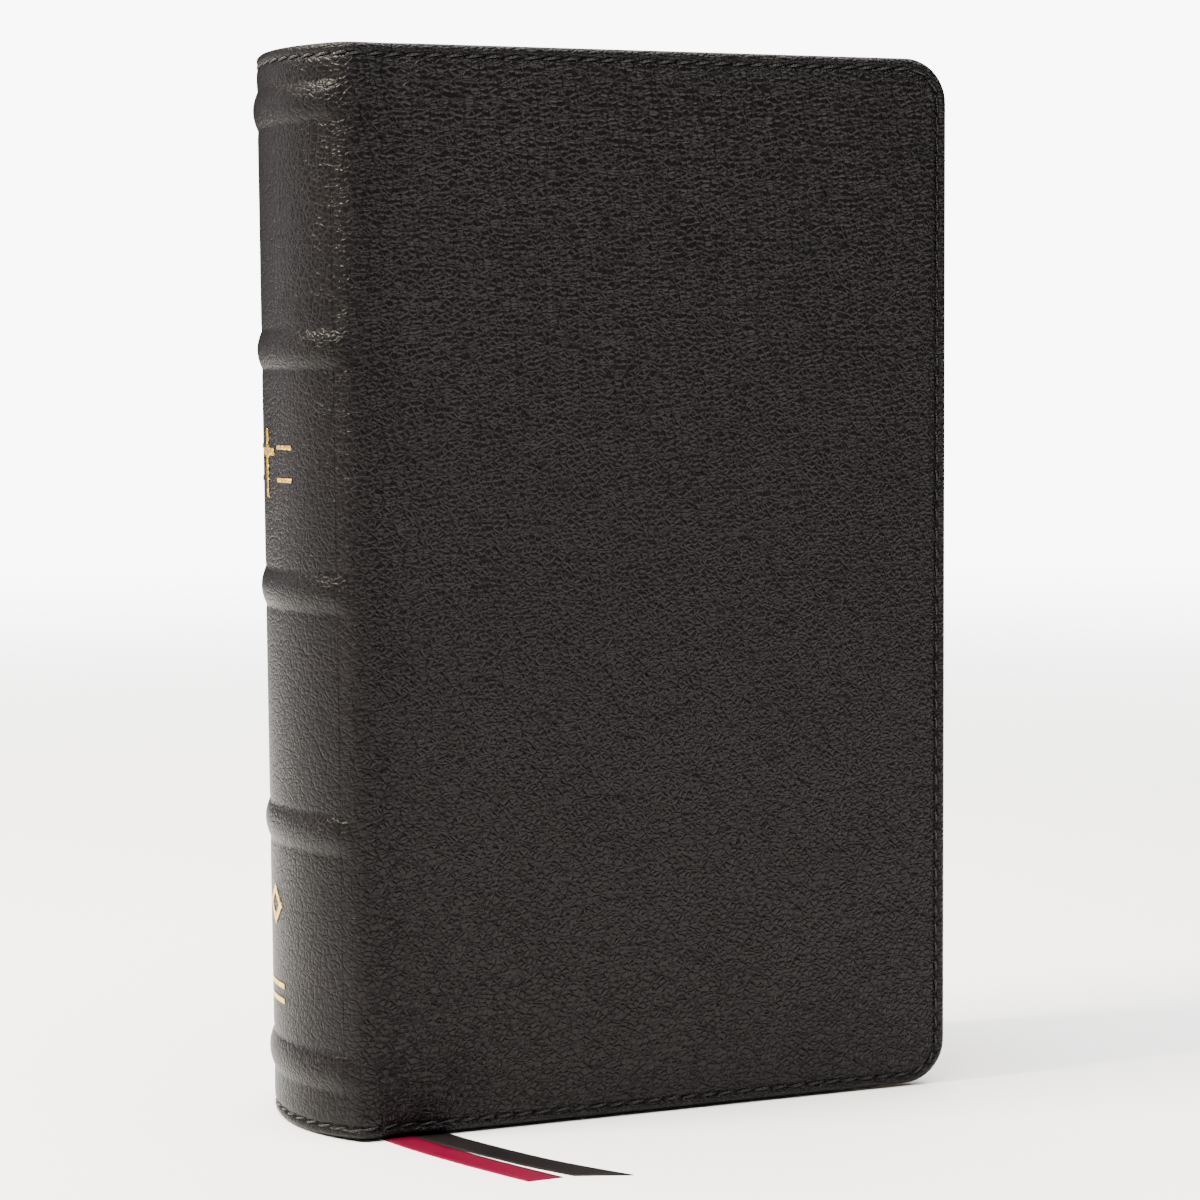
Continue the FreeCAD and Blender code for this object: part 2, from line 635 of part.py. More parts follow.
whole = Part.Compound([thing.Shape for thing in parts.values()]).optimalBoundingBox(False)
print(f"{len(parts)} pieces, {whole.XLength:.2f} x {whole.YLength:.2f} x {whole.ZLength:.2f} mm")
for label, thing in parts.items():
    bb = thing.Shape.optimalBoundingBox(False)
    print(f"{label:24s} solids {len(thing.Shape.Solids)} volume {thing.Shape.Volume:10.2f} "
          f"x {bb.XMin:.2f} {bb.XMax:.2f} y {bb.YMin:.2f} {bb.YMax:.2f} z {bb.ZMin:.2f} {bb.ZMax:.2f}")
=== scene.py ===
# %% [markdown]
# # A leather bible with raised bands
# The design file already holds every solid of this book: boards, spine card, sections of leaves,
# thread, foil and ribbons, each in its place. A soft piece is remade as a finer mesh, and a piece
# whose form is right is only given a material. All sizes are in metres, so a named value MM keeps
# the numbers readable.

# %% Load the frame
import math
import bmesh
import bpy
import numpy as np
from mathutils import Matrix, Vector, noise


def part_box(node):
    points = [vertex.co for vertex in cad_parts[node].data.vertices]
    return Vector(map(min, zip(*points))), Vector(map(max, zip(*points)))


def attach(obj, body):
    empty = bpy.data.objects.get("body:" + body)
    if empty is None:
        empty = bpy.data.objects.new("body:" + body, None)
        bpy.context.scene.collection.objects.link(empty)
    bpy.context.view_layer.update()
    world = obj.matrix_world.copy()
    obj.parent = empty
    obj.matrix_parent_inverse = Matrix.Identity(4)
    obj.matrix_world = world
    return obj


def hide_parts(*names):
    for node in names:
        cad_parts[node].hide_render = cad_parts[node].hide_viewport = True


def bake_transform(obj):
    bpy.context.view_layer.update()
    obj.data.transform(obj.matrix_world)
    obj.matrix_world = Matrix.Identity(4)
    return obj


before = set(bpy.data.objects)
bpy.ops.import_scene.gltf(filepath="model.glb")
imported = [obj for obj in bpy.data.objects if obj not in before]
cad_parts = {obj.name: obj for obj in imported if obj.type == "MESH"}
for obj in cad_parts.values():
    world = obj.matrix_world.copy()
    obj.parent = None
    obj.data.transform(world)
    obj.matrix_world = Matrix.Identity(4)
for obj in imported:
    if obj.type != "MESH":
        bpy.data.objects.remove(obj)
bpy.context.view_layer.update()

MM = 0.001

# %% [markdown]
# ## Where the camera stands
# The book stands on its tail and is seen from the front, a little to the spine side and from
# about two thirds of its height. A camera looks along its own -Z axis, so it is first tilted up
# about X, then turned about the upright Z. A long lens keeps the upright edges nearly parallel.

# %% Camera
camera_data = bpy.data.cameras.new("camera")
camera_data.lens = 84.93
camera_data.sensor_width = 36
camera_data.clip_end = 50
camera = bpy.data.objects.new("camera", camera_data)
bpy.context.scene.collection.objects.link(camera)
camera.matrix_world = (
    Matrix.Translation((-0.2093, -0.5823, 0.1618))
    @ Matrix.Rotation(math.radians(-19.92), 4, "Z")
    @ Matrix.Rotation(math.radians(85.07), 4, "X")
    @ Matrix.Rotation(math.radians(-0.47), 4, "Z")
)
bpy.context.scene.camera = camera
print("camera at", [round(value, 3) for value in camera.location])

# %% [markdown]
# ## Small helpers
# Every mesh below is made from a list of points and a list of faces, so one helper turns such lists
# into an object, and another makes a shader node and fills in its sockets by name. Writing them
# once keeps each later cell about the book and not about Blender's bookkeeping.


# %% Helpers for meshes and nodes
def new_object(name, points, faces, smooth=True):
    """An object at the origin whose place is in its mesh."""
    mesh = bpy.data.meshes.new(name)
    mesh.from_pydata([tuple(point) for point in points], [], [tuple(face) for face in faces])
    mesh.update()
    mesh.polygons.foreach_set("use_smooth", [smooth] * len(mesh.polygons))
    made = bpy.data.objects.new(name, mesh)
    bpy.context.scene.collection.objects.link(made)
    return made


def face_outwards(made):
    """Turns the faces of a closed mesh outwards."""
    shell = bmesh.new()
    shell.from_mesh(made.data)
    bmesh.ops.recalc_face_normals(shell, faces=shell.faces)
    shell.to_mesh(made.data)
    shell.free()


def remember_place(made, attribute):
    """Stores where each point rests, so that a pattern stays on a piece that bends."""
    store = made.data.attributes.new(attribute, "FLOAT_VECTOR", "POINT")
    places = np.zeros(len(made.data.vertices) * 3, np.float32)
    made.data.vertices.foreach_get("co", places)
    store.data.foreach_set("vector", places)


def node(tree, kind, settings=None, **sockets):
    """A node whose sockets are set by name, from a value or from another node's output."""
    made = tree.nodes.new(kind)
    for key, value in (settings or {}).items():
        setattr(made, key, value)
    for key, value in sockets.items():
        socket = made.inputs[key.replace("_", " ")]
        if isinstance(value, bpy.types.NodeSocket):
            tree.links.new(value, socket)
        else:
            socket.default_value = value
    return made


def smoothstep(low, high, value):
    share = np.clip((np.asarray(value, float) - low) / (high - low), 0, 1)
    return share * share * (3 - 2 * share)


# %% [markdown]
# ## The two ribbons
# Each marker ribbon lies between two sections, comes down to the tail, folds once and runs out over
# the table in front of the book. A ribbon is a flat cord, so its middle line is one smooth NURBS
# curve through the same few points as in the design, and the woven strip is swept along it. The
# strip needs to know which way is "across". It starts across the page, and at each point it is only
# turned as much as the line turns, so the strip never twists: it lies flat on the page, folds
# once, and lies flat on the table.


# %% Ribbon routes
def ribbon_route(page, floor, page_y):
    """Route points in metres: (x, z) down the page, then (x, y) along the table."""
    down = [(x, page_y, z) for x, z in page]
    along = [(x, y, 0.1) for x, y in floor]
    return [Vector(point) * MM for point in down + along]


RIBBON_Y = -12.75
CRIMSON_ROUTE = ribbon_route(
    [(-60.4, 219), (-58.3, 175), (-56.5, 125), (-55.4, 81), (-54.9, 47), (-54.68, 24), (-54.6, 9),
     (-54.6, 0.1)],
    [(-54.6, -20.25), (-51.2, -30.5), (-45.1, -44), (-38.6, -56.6), (-34.1, -64.6)], RIBBON_Y)
BLACK_ROUTE = ribbon_route(
    [(-53.4, 219), (-51.3, 175), (-49.5, 125), (-48.5, 81), (-48.05, 47), (-47.87, 24), (-47.8, 9),
     (-47.8, 0.1)],
    [(-47.8, -20.25), (-44.2, -30.3), (-37.4, -43.6), (-29.8, -56.9), (-22.5, -66.3)], RIBBON_Y)


def centre_line(name, route):
    """The points of a smooth curve that the route's points control."""
    curve = bpy.data.curves.new(name, "CURVE")
    curve.dimensions = "3D"
    spline = curve.splines.new("NURBS")
    spline.points.add(len(route) - 1)
    for control, point in zip(spline.points, route):
        control.co = (*point, 1)
    spline.order_u = 3
    spline.use_endpoint_u = True
    spline.resolution_u = 16
    holder = bpy.data.objects.new(name, curve)
    bpy.context.scene.collection.objects.link(holder)
    line = bpy.data.meshes.new_from_object(holder)
    points = [vertex.co.copy() for vertex in line.vertices]
    bpy.data.objects.remove(holder)
    bpy.data.meshes.remove(line)
    return points


# %% Weave a ribbon along its line
RIBBON_WIDTH = 6.4 * MM
RIBBON_THICK = 0.2 * MM
ACROSS_STEPS = 6
CUT_REACH = 14 * MM


def weave_ribbon(name, route, slant):
    """A thin closed strip with a slanted end. Its UV map runs across (U) and along it (V)."""
    line = centre_line(name + "_line", route)
    length = sum((b - a).length for a, b in zip(line, line[1:]))
    across = Vector((1, 0, 0))
    travelled = 0
    points = []
    for index, here in enumerate(line):
        before, after = line[max(index - 1, 0)], line[min(index + 1, len(line) - 1)]
        forward = (after - before).normalized()
        across = (across - forward * across.dot(forward)).normalized()
        lift = across.cross(forward)
        travelled += (here - before).length
        end_share = max(0, 1 - (length - travelled) / CUT_REACH)
        for layer in (-0.5, 0.5):
            for step in range(ACROSS_STEPS + 1):
                side = step / ACROSS_STEPS * 2 - 1
                offset = across * side * RIBBON_WIDTH / 2 + lift * layer * RIBBON_THICK
                points.append(here + offset + forward * side * slant * end_share)
    row = ACROSS_STEPS + 1
    faces = []
    for index in range(len(line) - 1):
        a, b = index * 2 * row, (index + 1) * 2 * row
        for step in range(ACROSS_STEPS):
            faces.append((a + step, a + step + 1, b + step + 1, b + step))
            faces.append((a + row + step + 1, a + row + step, b + row + step, b + row + step + 1))
        faces.append((a, b, b + row, a + row))
        faces.append((a + row - 1, a + 2 * row - 1, b + 2 * row - 1, b + row - 1))
    last = (len(line) - 1) * 2 * row
    for start in (0, last):
        there = list(range(start, start + row))
        back_again = list(range(start + 2 * row - 1, start + row - 1, -1))
        faces.append(there + back_again)
    ribbon = new_object(name, points, faces)
    face_outwards(ribbon)
    weave = ribbon.data.uv_layers.new(name="weave")
    for loop in ribbon.data.loops:
        index, step = divmod(loop.vertex_index, 2 * row)
        along = index / len(line) * length / RIBBON_WIDTH
        weave.data[loop.index].uv = ((step % row) / ACROSS_STEPS, along)
    print(f"{name}: {length * 1000:.1f} mm long, {len(faces)} faces")
    return ribbon, line


ribbon_crimson, crimson_line = weave_ribbon("marker_crimson", CRIMSON_ROUTE, 1.7 * MM)
ribbon_black, black_line = weave_ribbon("marker_black", BLACK_ROUTE, 4.9 * MM)
for made, line, nominal, cad_node, slot in (
        (ribbon_crimson, crimson_line, 0.274, "ribbon_crimson", "crimson_ribbon"),
        (ribbon_black, black_line, 0.278, "ribbon_black", "black_ribbon")):
    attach(made, "root")
    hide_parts(cad_node)

# %% [markdown]
# ## The form of the skin
# The leather is one skin: it runs from the fore-edge of the front cover over the joint, round the
# spine and on to the back. On a table it could be cut from one flat sheet, so it is described
# flat first: S is the way along the skin, measured from the joint (plus on the cover, minus on the
# spine), and Z is the height. A second step wraps that flat pattern round the plan of the book,
# and a third lifts it over the raised bands and dips it beside the joint. The plan is a straight
# line that meets an arc. Leather can't turn a sharp corner, so the plan is softened by averaging
# it along its own length.

# %% Sizes of the skin, from the frame
front_low, front_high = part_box("front_cover_leather")
spine_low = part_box("spine_leather")[0]
back_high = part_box("back_cover_leather")[1]
HINGE_X = front_low.x / MM
FORE_X = front_high.x / MM
HALF = back_high.y / MM
HEIGHT = back_high.z / MM
BAND_RISE = 0.9
SPINE_X = spine_low.x / MM + BAND_RISE
RISE = HINGE_X - SPINE_X
SPINE_R = (HALF ** 2 + RISE ** 2) / (2 * RISE)
CENTRE_X = SPINE_X + SPINE_R
JOINT_ANGLE = math.asin(HALF / SPINE_R)
ARC = SPINE_R * JOINT_ANGLE
COVER_LENGTH = FORE_X - HINGE_X
BANDS = []
for number in range(1, 6):
    low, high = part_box(f"raised_band_{number}")
    BANDS.append((low.z + high.z) / 2 / MM)
print(f"spine radius {SPINE_R:.2f} mm, half arc {ARC:.2f} mm, bands at {[round(z, 1) for z in BANDS]}")

# %% The softened plan
PLAN_STEP = 0.1
SOFTENING = 1.7
plan_s = np.arange(-ARC - 12, COVER_LENGTH + 12, PLAN_STEP)
angle = JOINT_ANGLE + np.minimum(plan_s, 0) / SPINE_R
plan_x = np.where(plan_s < 0, CENTRE_X - SPINE_R * np.cos(angle), HINGE_X + plan_s)
plan_y = np.where(plan_s < 0, SPINE_R * np.sin(angle), HALF)
reach = np.arange(-6 * SOFTENING, 6 * SOFTENING, PLAN_STEP)
weight = np.exp(-reach ** 2 / (2 * SOFTENING ** 2))
weight /= weight.sum()
plan_x = np.convolve(plan_x, weight, "same")
plan_y = np.convolve(plan_y, weight, "same")
slope_x, slope_y = np.gradient(plan_x), np.gradient(plan_y)
slope = np.hypot(slope_x, slope_y)


def on_plan(s):
    """The point of the plan at s, and the direction that faces out of it, for the back half."""
    x, y = np.interp(s, plan_s, plan_x), np.interp(s, plan_s, plan_y)
    along_x = np.interp(s, plan_s, slope_x / slope)
    along_y = np.interp(s, plan_s, slope_y / slope)
    return x, y, -along_y, along_x


# %% [markdown]
# ## What the skin does between its edges
# Over each band the leather follows a cord under it: a low round hump with a small crease at its
# foot, which fades out as the cord ends at the joint. Past the joint there is a shallow groove,
# where the cover bends. A little slow unevenness, only inwards, keeps the faces from looking
# machined.

# %% Relief of the skin
BAND_HALF = 4.0
BAND_FADE = (-5.0, 0.4)
GROOVE_MIDDLE, GROOVE_HALF, GROOVE_DEPTH = 9, 6.5, 0.55


def relief(s, z):
    """How far the skin stands out, in mm, at flat places s and z."""
    s, z = np.asarray(s, float), np.asarray(z, float)
    out = np.zeros_like(s)
    fade = 1 - smoothstep(*BAND_FADE, s)
    for middle in BANDS:
        off = np.abs(z - middle)
        hump = np.clip(1 - (off / BAND_HALF) ** 2, 0, 1) ** 1.2
        foot = -0.10 * np.exp(-((off - BAND_HALF - 0.3) / 0.7) ** 2)
        out += fade * (BAND_RISE * hump + foot)
    groove = np.clip(1 - ((s - GROOVE_MIDDLE) / GROOVE_HALF) ** 2, 0, 1)
    return out - GROOVE_DEPTH * groove ** 2


def dents(side, s, z):
    """Depth of the slow dents of a hand-covered board, in mm. They die out at the edges."""
    depth = np.zeros_like(s)
    for index, (way, height) in enumerate(zip((side * (s + ARC)).flat, z.flat)):
        slow = noise.noise(Vector((way / 22, height / 26, 0)))
        quick = noise.noise(Vector((way / 7, height / 8, 5)))
        depth.flat[index] = 0.10 * (0.5 + 0.5 * slow) + 0.035 * (0.5 + 0.5 * quick)
    border = np.minimum(np.minimum(z, HEIGHT - z), COVER_LENGTH - s)
    return depth * smoothstep(4.7, 9, border)


# %% [markdown]
# ## The edge of the skin
# Round the free edges the leather is turned in over the board and sewn down with one row of
# stitches, 2.3 mm from the edge. The thread pulls a narrow channel into the leather, and between
# the channel and the edge a rounded lip is left. That cross-section is one list of points:
# A is how far in from the edge, and B is how deep below the outer face. It is swept round the
# edge of the cover, and in a thinner form across the head and tail of the spine.

# %% Cross-section of the edge
EDGE_INSET = 4.2
COVER_THICK = 2.5
CAP_THICK = 1.7
SKIN_THICK = 0.88
THREAD_INSET = 2.3
HOLE_DEPTH = 0.34
HOLE_REACH = 0.55
OUTER_PART = 0.6
EDGE_SECTION = [
    (3.7, 0.03), (3.2, 0.10), (2.85, 0.24), (2.58, 0.42), (2.3, 0.50), (2.02, 0.42), (1.75, 0.22),
    (1.45, 0.08), (1.1, 0.04), (0.72, 0.14), (0.4, 0.36), (0.15, 0.70), (0.02, 1.12), (0.02, 1.5),
    (0.18, 1.92), (0.5, 2.26), (1.0, 2.45), (1.9, 2.5), (3.2, 2.5),
]


def edge_depth(deep, cover_share):
    """Depth of one point of the section: full on a cover, thinner on the spine."""
    squeezed = (CAP_THICK - OUTER_PART) / (COVER_THICK - OUTER_PART)
    thin = deep if deep < OUTER_PART else OUTER_PART + (deep - OUTER_PART) * squeezed
    return thin + (deep - thin) * cover_share


def section_at(to_hole, s):
    """The edge section at one station, drawn down a little where a needle hole is near."""
    cover_share = float(smoothstep(-2.5, 3.0, s))
    hole = HOLE_DEPTH * math.exp(-(to_hole / HOLE_REACH) ** 2)
    section = []
    for inset, deep in EDGE_SECTION:
        in_channel = math.exp(-((inset - THREAD_INSET) / HOLE_REACH) ** 2)
        drawn = hole * in_channel if deep < OUTER_PART else 0
        section.append((inset, edge_depth(deep, cover_share) + drawn))
    return section


def inner_depth(s):
    """Depth of the inside of the skin away from its edges."""
    return SKIN_THICK + (COVER_THICK - SKIN_THICK) * smoothstep(-0.3, 3.5, s)


# %% [markdown]
# ## Stitches set the rhythm
# The leather is drawn down at each needle hole, so the mesh must have a column at each hole. The
# stitch pitch is therefore chosen first, as a whole number of stitches round the cover, and every
# pitch is divided into four columns. Near the joint, where the cover will bend, each pitch has
# twelve.

# %% Stations along the edge of a cover
CORNER = 9.5


def cover_outline(bottom):
    """Stations round a cover's edge at the stitch line: flat place, inward direction, at a hole."""
    straight = COVER_LENGTH - CORNER
    bend = (CORNER - THREAD_INSET) * math.pi / 2
    upright = HEIGHT - bottom - 2 * CORNER
    path = 2 * straight + 2 * bend + upright
    count = round(path / 4.2 / 2) * 2
    pitch = path / count
    stations = []

    def place(travel):
        """Flat place on the cover's true edge, and the inward direction, at a path length."""
        mirrored = travel > path / 2
        t = path - travel if mirrored else travel
        if t <= straight:
            spot, inward = (t, bottom), (0.0, 1.0)
        elif t <= straight + bend:
            turn = (t - straight) / (CORNER - THREAD_INSET)
            spot = (straight + CORNER * math.sin(turn), bottom + CORNER * (1 - math.cos(turn)))
            inward = (-math.sin(turn), math.cos(turn))
        else:
            spot, inward = (COVER_LENGTH, bottom + CORNER + t - straight - bend), (-1.0, 0.0)
        if mirrored:
            spot, inward = (spot[0], HEIGHT + bottom - spot[1]), (inward[0], -inward[1])
        return spot, inward

    fine = [-pitch + k * pitch / 12 for k in range(24)]
    coarse = [pitch + k * pitch / 4 for k in range(4 * (count // 2 - 1))]
    half = fine + coarse
    travels = half + [path / 2] + [path - t for t in reversed(half)]
    for travel in travels:
        if travel < 0:
            spot, inward = (travel, bottom), (0.0, 1.0)
        elif travel > path:
            spot, inward = (path - travel, HEIGHT), (0.0, -1.0)
        else:
            spot, inward = place(travel)
        to_hole = abs((travel / pitch + 0.5) % 1 - 0.5) * pitch
        stations.append((spot, inward, to_hole))
    return stations, pitch, place, path, count


stations, PITCH, _, path, count = cover_outline(0)
SEAM_S = -PITCH
print(f"{count} stitches of {PITCH:.2f} mm round {path:.0f} mm, {len(stations)} stations")


# %% [markdown]
# ## From flat pattern to wrapped skin
# The field inside the edge is a net whose four borders are known: this is what a Coons patch is
# for. Each inner point is a blend of the borders across from it, so rows and columns flow into
# the rounded corners without a seam. The same net is laid twice, once for the outer face and
# once for the inside, and the edge section joins the two into one closed shell.

# %% Flat net and closed shell
def coons(bottom, top, left, right):
    """A net of flat points between four borders."""
    bottom, top, left, right = (np.array(border, float) for border in (bottom, top, left, right))
    u = np.linspace(0, 1, len(bottom))[:, None, None]
    v = np.linspace(0, 1, len(left))[None, :, None]
    net = (1 - v) * bottom[:, None] + v * top[:, None] + (1 - u) * left[None] + u * right[None]
    net -= (1 - u) * (1 - v) * bottom[0] + u * (1 - v) * bottom[-1]
    net -= (1 - u) * v * top[0] + u * v * top[-1]
    return net


def seam_rows(low, high, count):
    """Row heights along a seam, closer together over the raised bands."""
    z = np.linspace(low, high, 4000)
    density = np.full_like(z, 1.0)
    for middle in BANDS:
        density += 2.4 * (np.abs(z - middle) < BAND_HALF + 1.3)
    total = np.concatenate([[0], np.cumsum((density[1:] + density[:-1]) / 2)])
    return np.interp(np.linspace(0, total[-1], count), total, z)


def wrap(side, s, z, depth):
    """Places flat points on the book: side is -1 for the front half and 1 for the back half."""
    s, z = np.asarray(s, float), np.asarray(z, float)
    x, y, out_x, out_y = on_plan(s)
    lift = relief(s, z) - depth
    return np.stack([(x + out_x * lift) * MM, side * (y + out_y * lift) * MM, z * MM], axis=-1)


def shell(name, outer, inner, chains, seams):
    """A closed shell from two nets and the edge sections that join their borders.
    A chain is the list of border cells (i, j) it runs along and its points, station by station."""
    wide, tall = outer.shape[:2]
    points = list(outer.reshape(-1, 3)) + list(inner.reshape(-1, 3))
    base = wide * tall

    def at(i, j, layer=0):
        return layer * base + i * tall + j

    faces = []
    for i in range(wide - 1):
        for j in range(tall - 1):
            faces.append((at(i, j), at(i + 1, j), at(i + 1, j + 1), at(i, j + 1)))
            faces.append((at(i, j, 1), at(i, j + 1, 1), at(i + 1, j + 1, 1), at(i + 1, j, 1)))
    for cells, sections in chains:
        rows = []
        for (i, j), section in zip(cells, sections):
            first = len(points)
            points.extend(section)
            rows.append([at(i, j)] + list(range(first, first + len(section))) + [at(i, j, 1)])
        for a, b in zip(rows, rows[1:]):
            for k in range(len(a) - 1):
                faces.append((a[k], a[k + 1], b[k + 1], b[k]))
        faces.extend([tuple(rows[0]), tuple(rows[-1])])
    for cells in seams:
        for (i, j), (p, q) in zip(cells, cells[1:]):
            faces.append((at(i, j), at(p, q), at(p, q, 1), at(i, j, 1)))
    made = new_object(name, points, faces)
    face_outwards(made)
    made.data.set_sharp_from_angle(angle=math.radians(60))
    remember_place(made, "leather_place")
    return made


def edge_points(side, stations):
    """The edge section at every station, drawn down a little at each needle hole."""
    return [[wrap(side, s + inward_s * inset, z + inward_z * inset, depth)
             for inset, depth in section_at(to_hole, s)]
            for (s, z), (inward_s, inward_z), to_hole in stations]


def bend_at_joint(piece):
    """Bakes a piece's place into its mesh and leaves the object at the origin."""
    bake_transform(piece)


def cover_skin(side, word, bottom):
    stations = cover_outline(bottom)[0]
    border = [(spot[0] + inward[0] * EDGE_INSET, spot[1] + inward[1] * EDGE_INSET)
              for spot, inward, _ in stations]
    corner = next(k for k, (spot, inward, _) in enumerate(stations) if inward[0] < -0.7)
    last = len(stations) - 1
    low, right = border[:corner + 1], border[corner:last - corner + 1]
    high = border[last - corner:][::-1]
    rows = seam_rows(bottom + EDGE_INSET, HEIGHT - EDGE_INSET, len(right))
    net = coons(low, high, [(border[0][0], z) for z in rows], right)
    s, z = net[..., 0], net[..., 1]
    outer = wrap(side, s, z, dents(side, s, z))
    inner = wrap(side, s, z, inner_depth(s))
    wide, tall = s.shape
    cells = [(i, 0) for i in range(wide)] + [(wide - 1, j) for j in range(1, tall)]
    cells += [(i, tall - 1) for i in range(wide - 2, -1, -1)]
    seam = [(0, j) for j in range(tall)]
    skin = shell(f"{word}_leather_skin", outer, inner, [(cells, edge_points(side, stations))], [seam])
    bend_at_joint(skin)
    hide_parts(f"{word}_cover_leather")
    print(f"{skin.name}: {wide} x {tall} net, {len(skin.data.polygons)} faces")
    return skin, rows


FRONT_LIFT = front_low.z / MM
front_skin, front_rows = cover_skin(-1, "front", FRONT_LIFT)
back_skin, back_rows = cover_skin(1, "back", 0)


# %% [markdown]
# ## The leather of the spine
# Between the two seams the skin doesn't move, so it is a piece of its own that stays with the
# spine. It uses the same plan, the same relief and the same edge section, and its first and last
# columns lie exactly on the covers' seams, so the joint between the pieces can't be seen. C is
# the way round the spine, from its middle line.

# %% Leather of the spine
def wrap_round(c, z, depth):
    """Like wrap, for a place c from the middle of the spine: minus is the front half."""
    c, z = np.asarray(c, float), np.asarray(z, float)
    x, y, out_x, out_y = on_plan(np.abs(c) - ARC)
    lift = relief(np.abs(c) - ARC, z) - depth
    side = np.where(c < 0, -1.0, 1.0)
    middle = np.abs(c) < 1e-9
    y, out_y = np.where(middle, 0, y), np.where(middle, 0, out_y)
    return np.stack([(x + out_x * lift) * MM, side * (y + out_y * lift) * MM, z * MM], axis=-1)


def spine_skin():
    reach = ARC + SEAM_S
    stitches = round(2 * reach / PITCH)
    pitch = 2 * reach / stitches
    columns = np.linspace(-reach, reach, 4 * stitches + 1)
    first, last = columns[0], columns[-1]
    columns = np.concatenate([[first, first + 0.35], columns[1:-1], [last - 0.35, last]])
    lift = np.interp(columns, [-reach, -reach + 12], [FRONT_LIFT, 0])
    sections = {0: [], 1: []}
    for c, low in zip(columns, lift):
        to_hole = abs(((c + reach) / pitch + 0.5) % 1 - 0.5) * pitch
        for end, z, inward in ((0, low, 1), (1, HEIGHT, -1)):
            sections[end].append([wrap_round(c, z + inward * inset, depth)
                                  for inset, depth in section_at(to_hole, abs(c) - ARC)])
    net = coons([(c, low + EDGE_INSET) for c, low in zip(columns, lift)],
                [(c, HEIGHT - EDGE_INSET) for c in columns],
                [(-reach, z) for z in front_rows], [(reach, z) for z in back_rows])
    c, z = net[..., 0], net[..., 1]
    outer = wrap_round(c, z, 0.3 * dents(np.sign(c), np.abs(c) - ARC, z))
    inner = wrap_round(c, z, SKIN_THICK)
    wide, tall = c.shape
    chains = [([(i, 0) for i in range(wide)], sections[0]),
              ([(i, tall - 1) for i in range(wide)], sections[1])]
    seams = [[(0, j) for j in range(tall)], [(wide - 1, j) for j in range(tall)]]
    skin = shell("spine_leather_skin", outer, inner, chains, seams)
    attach(skin, "root")
    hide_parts("spine_leather", *[f"raised_band_{n}" for n in range(1, 6)])
    print(f"{skin.name}: {wide} x {tall} net, stitch pitch {pitch:.2f} mm")
    return skin


spine_piece = spine_skin()

# %% [markdown]
# ## One row of stitches
# A sewing machine repeats one stitch along a line, which is what Geometry Nodes do best. The row is
# given as a mesh of points, one for the middle of each stitch, and each point carries two
# arrows: along the row, and out of the leather. The tree bends one short thread whose two ends
# dive into the leather, turns it to each point's arrows and a little askew, as a two-thread seam
# lies, and makes the copies real, because an export can't keep instances.


# %% Geometry Nodes tree for a row of stitches
def start_tree(name, sizes):
    """An empty tree with a geometry, a material and named sizes, and the two ends to build between."""
    tree = bpy.data.node_groups.new(name, "GeometryNodeTree")
    tree.interface.new_socket("Points", in_out="INPUT", socket_type="NodeSocketGeometry")
    tree.interface.new_socket("Material", in_out="INPUT", socket_type="NodeSocketMaterial")
    for size in sizes:
        tree.interface.new_socket(size, in_out="INPUT", socket_type="NodeSocketFloat")
    tree.interface.new_socket("Geometry", in_out="OUTPUT", socket_type="NodeSocketGeometry")
    return tree, node(tree, "NodeGroupInput").outputs, node(tree, "NodeGroupOutput")


def turned_to_arrows(tree, slant):
    """The rotation that sets X along the row and Z out of the surface, then turns by a slant."""
    arrow = {}
    for label in ("outward", "along"):
        read = node(tree, "GeometryNodeInputNamedAttribute", {"data_type": "FLOAT_VECTOR"}, Name=label)
        arrow[label] = read.outputs["Attribute"]
    upright = node(tree, "FunctionNodeAlignRotationToVector", {"axis": "Z"}, Vector=arrow["outward"])
    aimed = node(tree, "FunctionNodeAlignRotationToVector", {"axis": "X", "pivot_axis": "Z"},
                 Rotation=upright.outputs["Rotation"], Vector=arrow["along"])
    askew = node(tree, "ShaderNodeCombineXYZ", Z=slant)
    turned = node(tree, "FunctionNodeRotateRotation", {"rotation_space": "LOCAL"},
                  Rotation=aimed.outputs["Rotation"], Rotate_By=askew.outputs["Vector"])
    return turned.outputs["Rotation"]


def finish_tree(tree, sizes, end, piece, slant):
    """Copies a piece to every point, makes the copies real and gives them their material."""
    place = node(tree, "GeometryNodeInputPosition")
    stored = {"data_type": "FLOAT_VECTOR", "domain": "POINT"}
    marked = node(tree, "GeometryNodeStoreNamedAttribute", stored, Geometry=piece,
                  Name="thread_place", Value=place.outputs["Position"])
    copies = node(tree, "GeometryNodeInstanceOnPoints", Points=sizes["Points"],
                  Instance=marked.outputs["Geometry"], Rotation=turned_to_arrows(tree, slant))
    real = node(tree, "GeometryNodeRealizeInstances", Geometry=copies.outputs["Instances"])
    smooth = node(tree, "GeometryNodeSetShadeSmooth", Geometry=real.outputs["Geometry"])
    painted = node(tree, "GeometryNodeSetMaterial", Geometry=smooth.outputs["Geometry"],
                   Material=sizes["Material"])
    tree.links.new(painted.outputs["Geometry"], end.inputs["Geometry"])


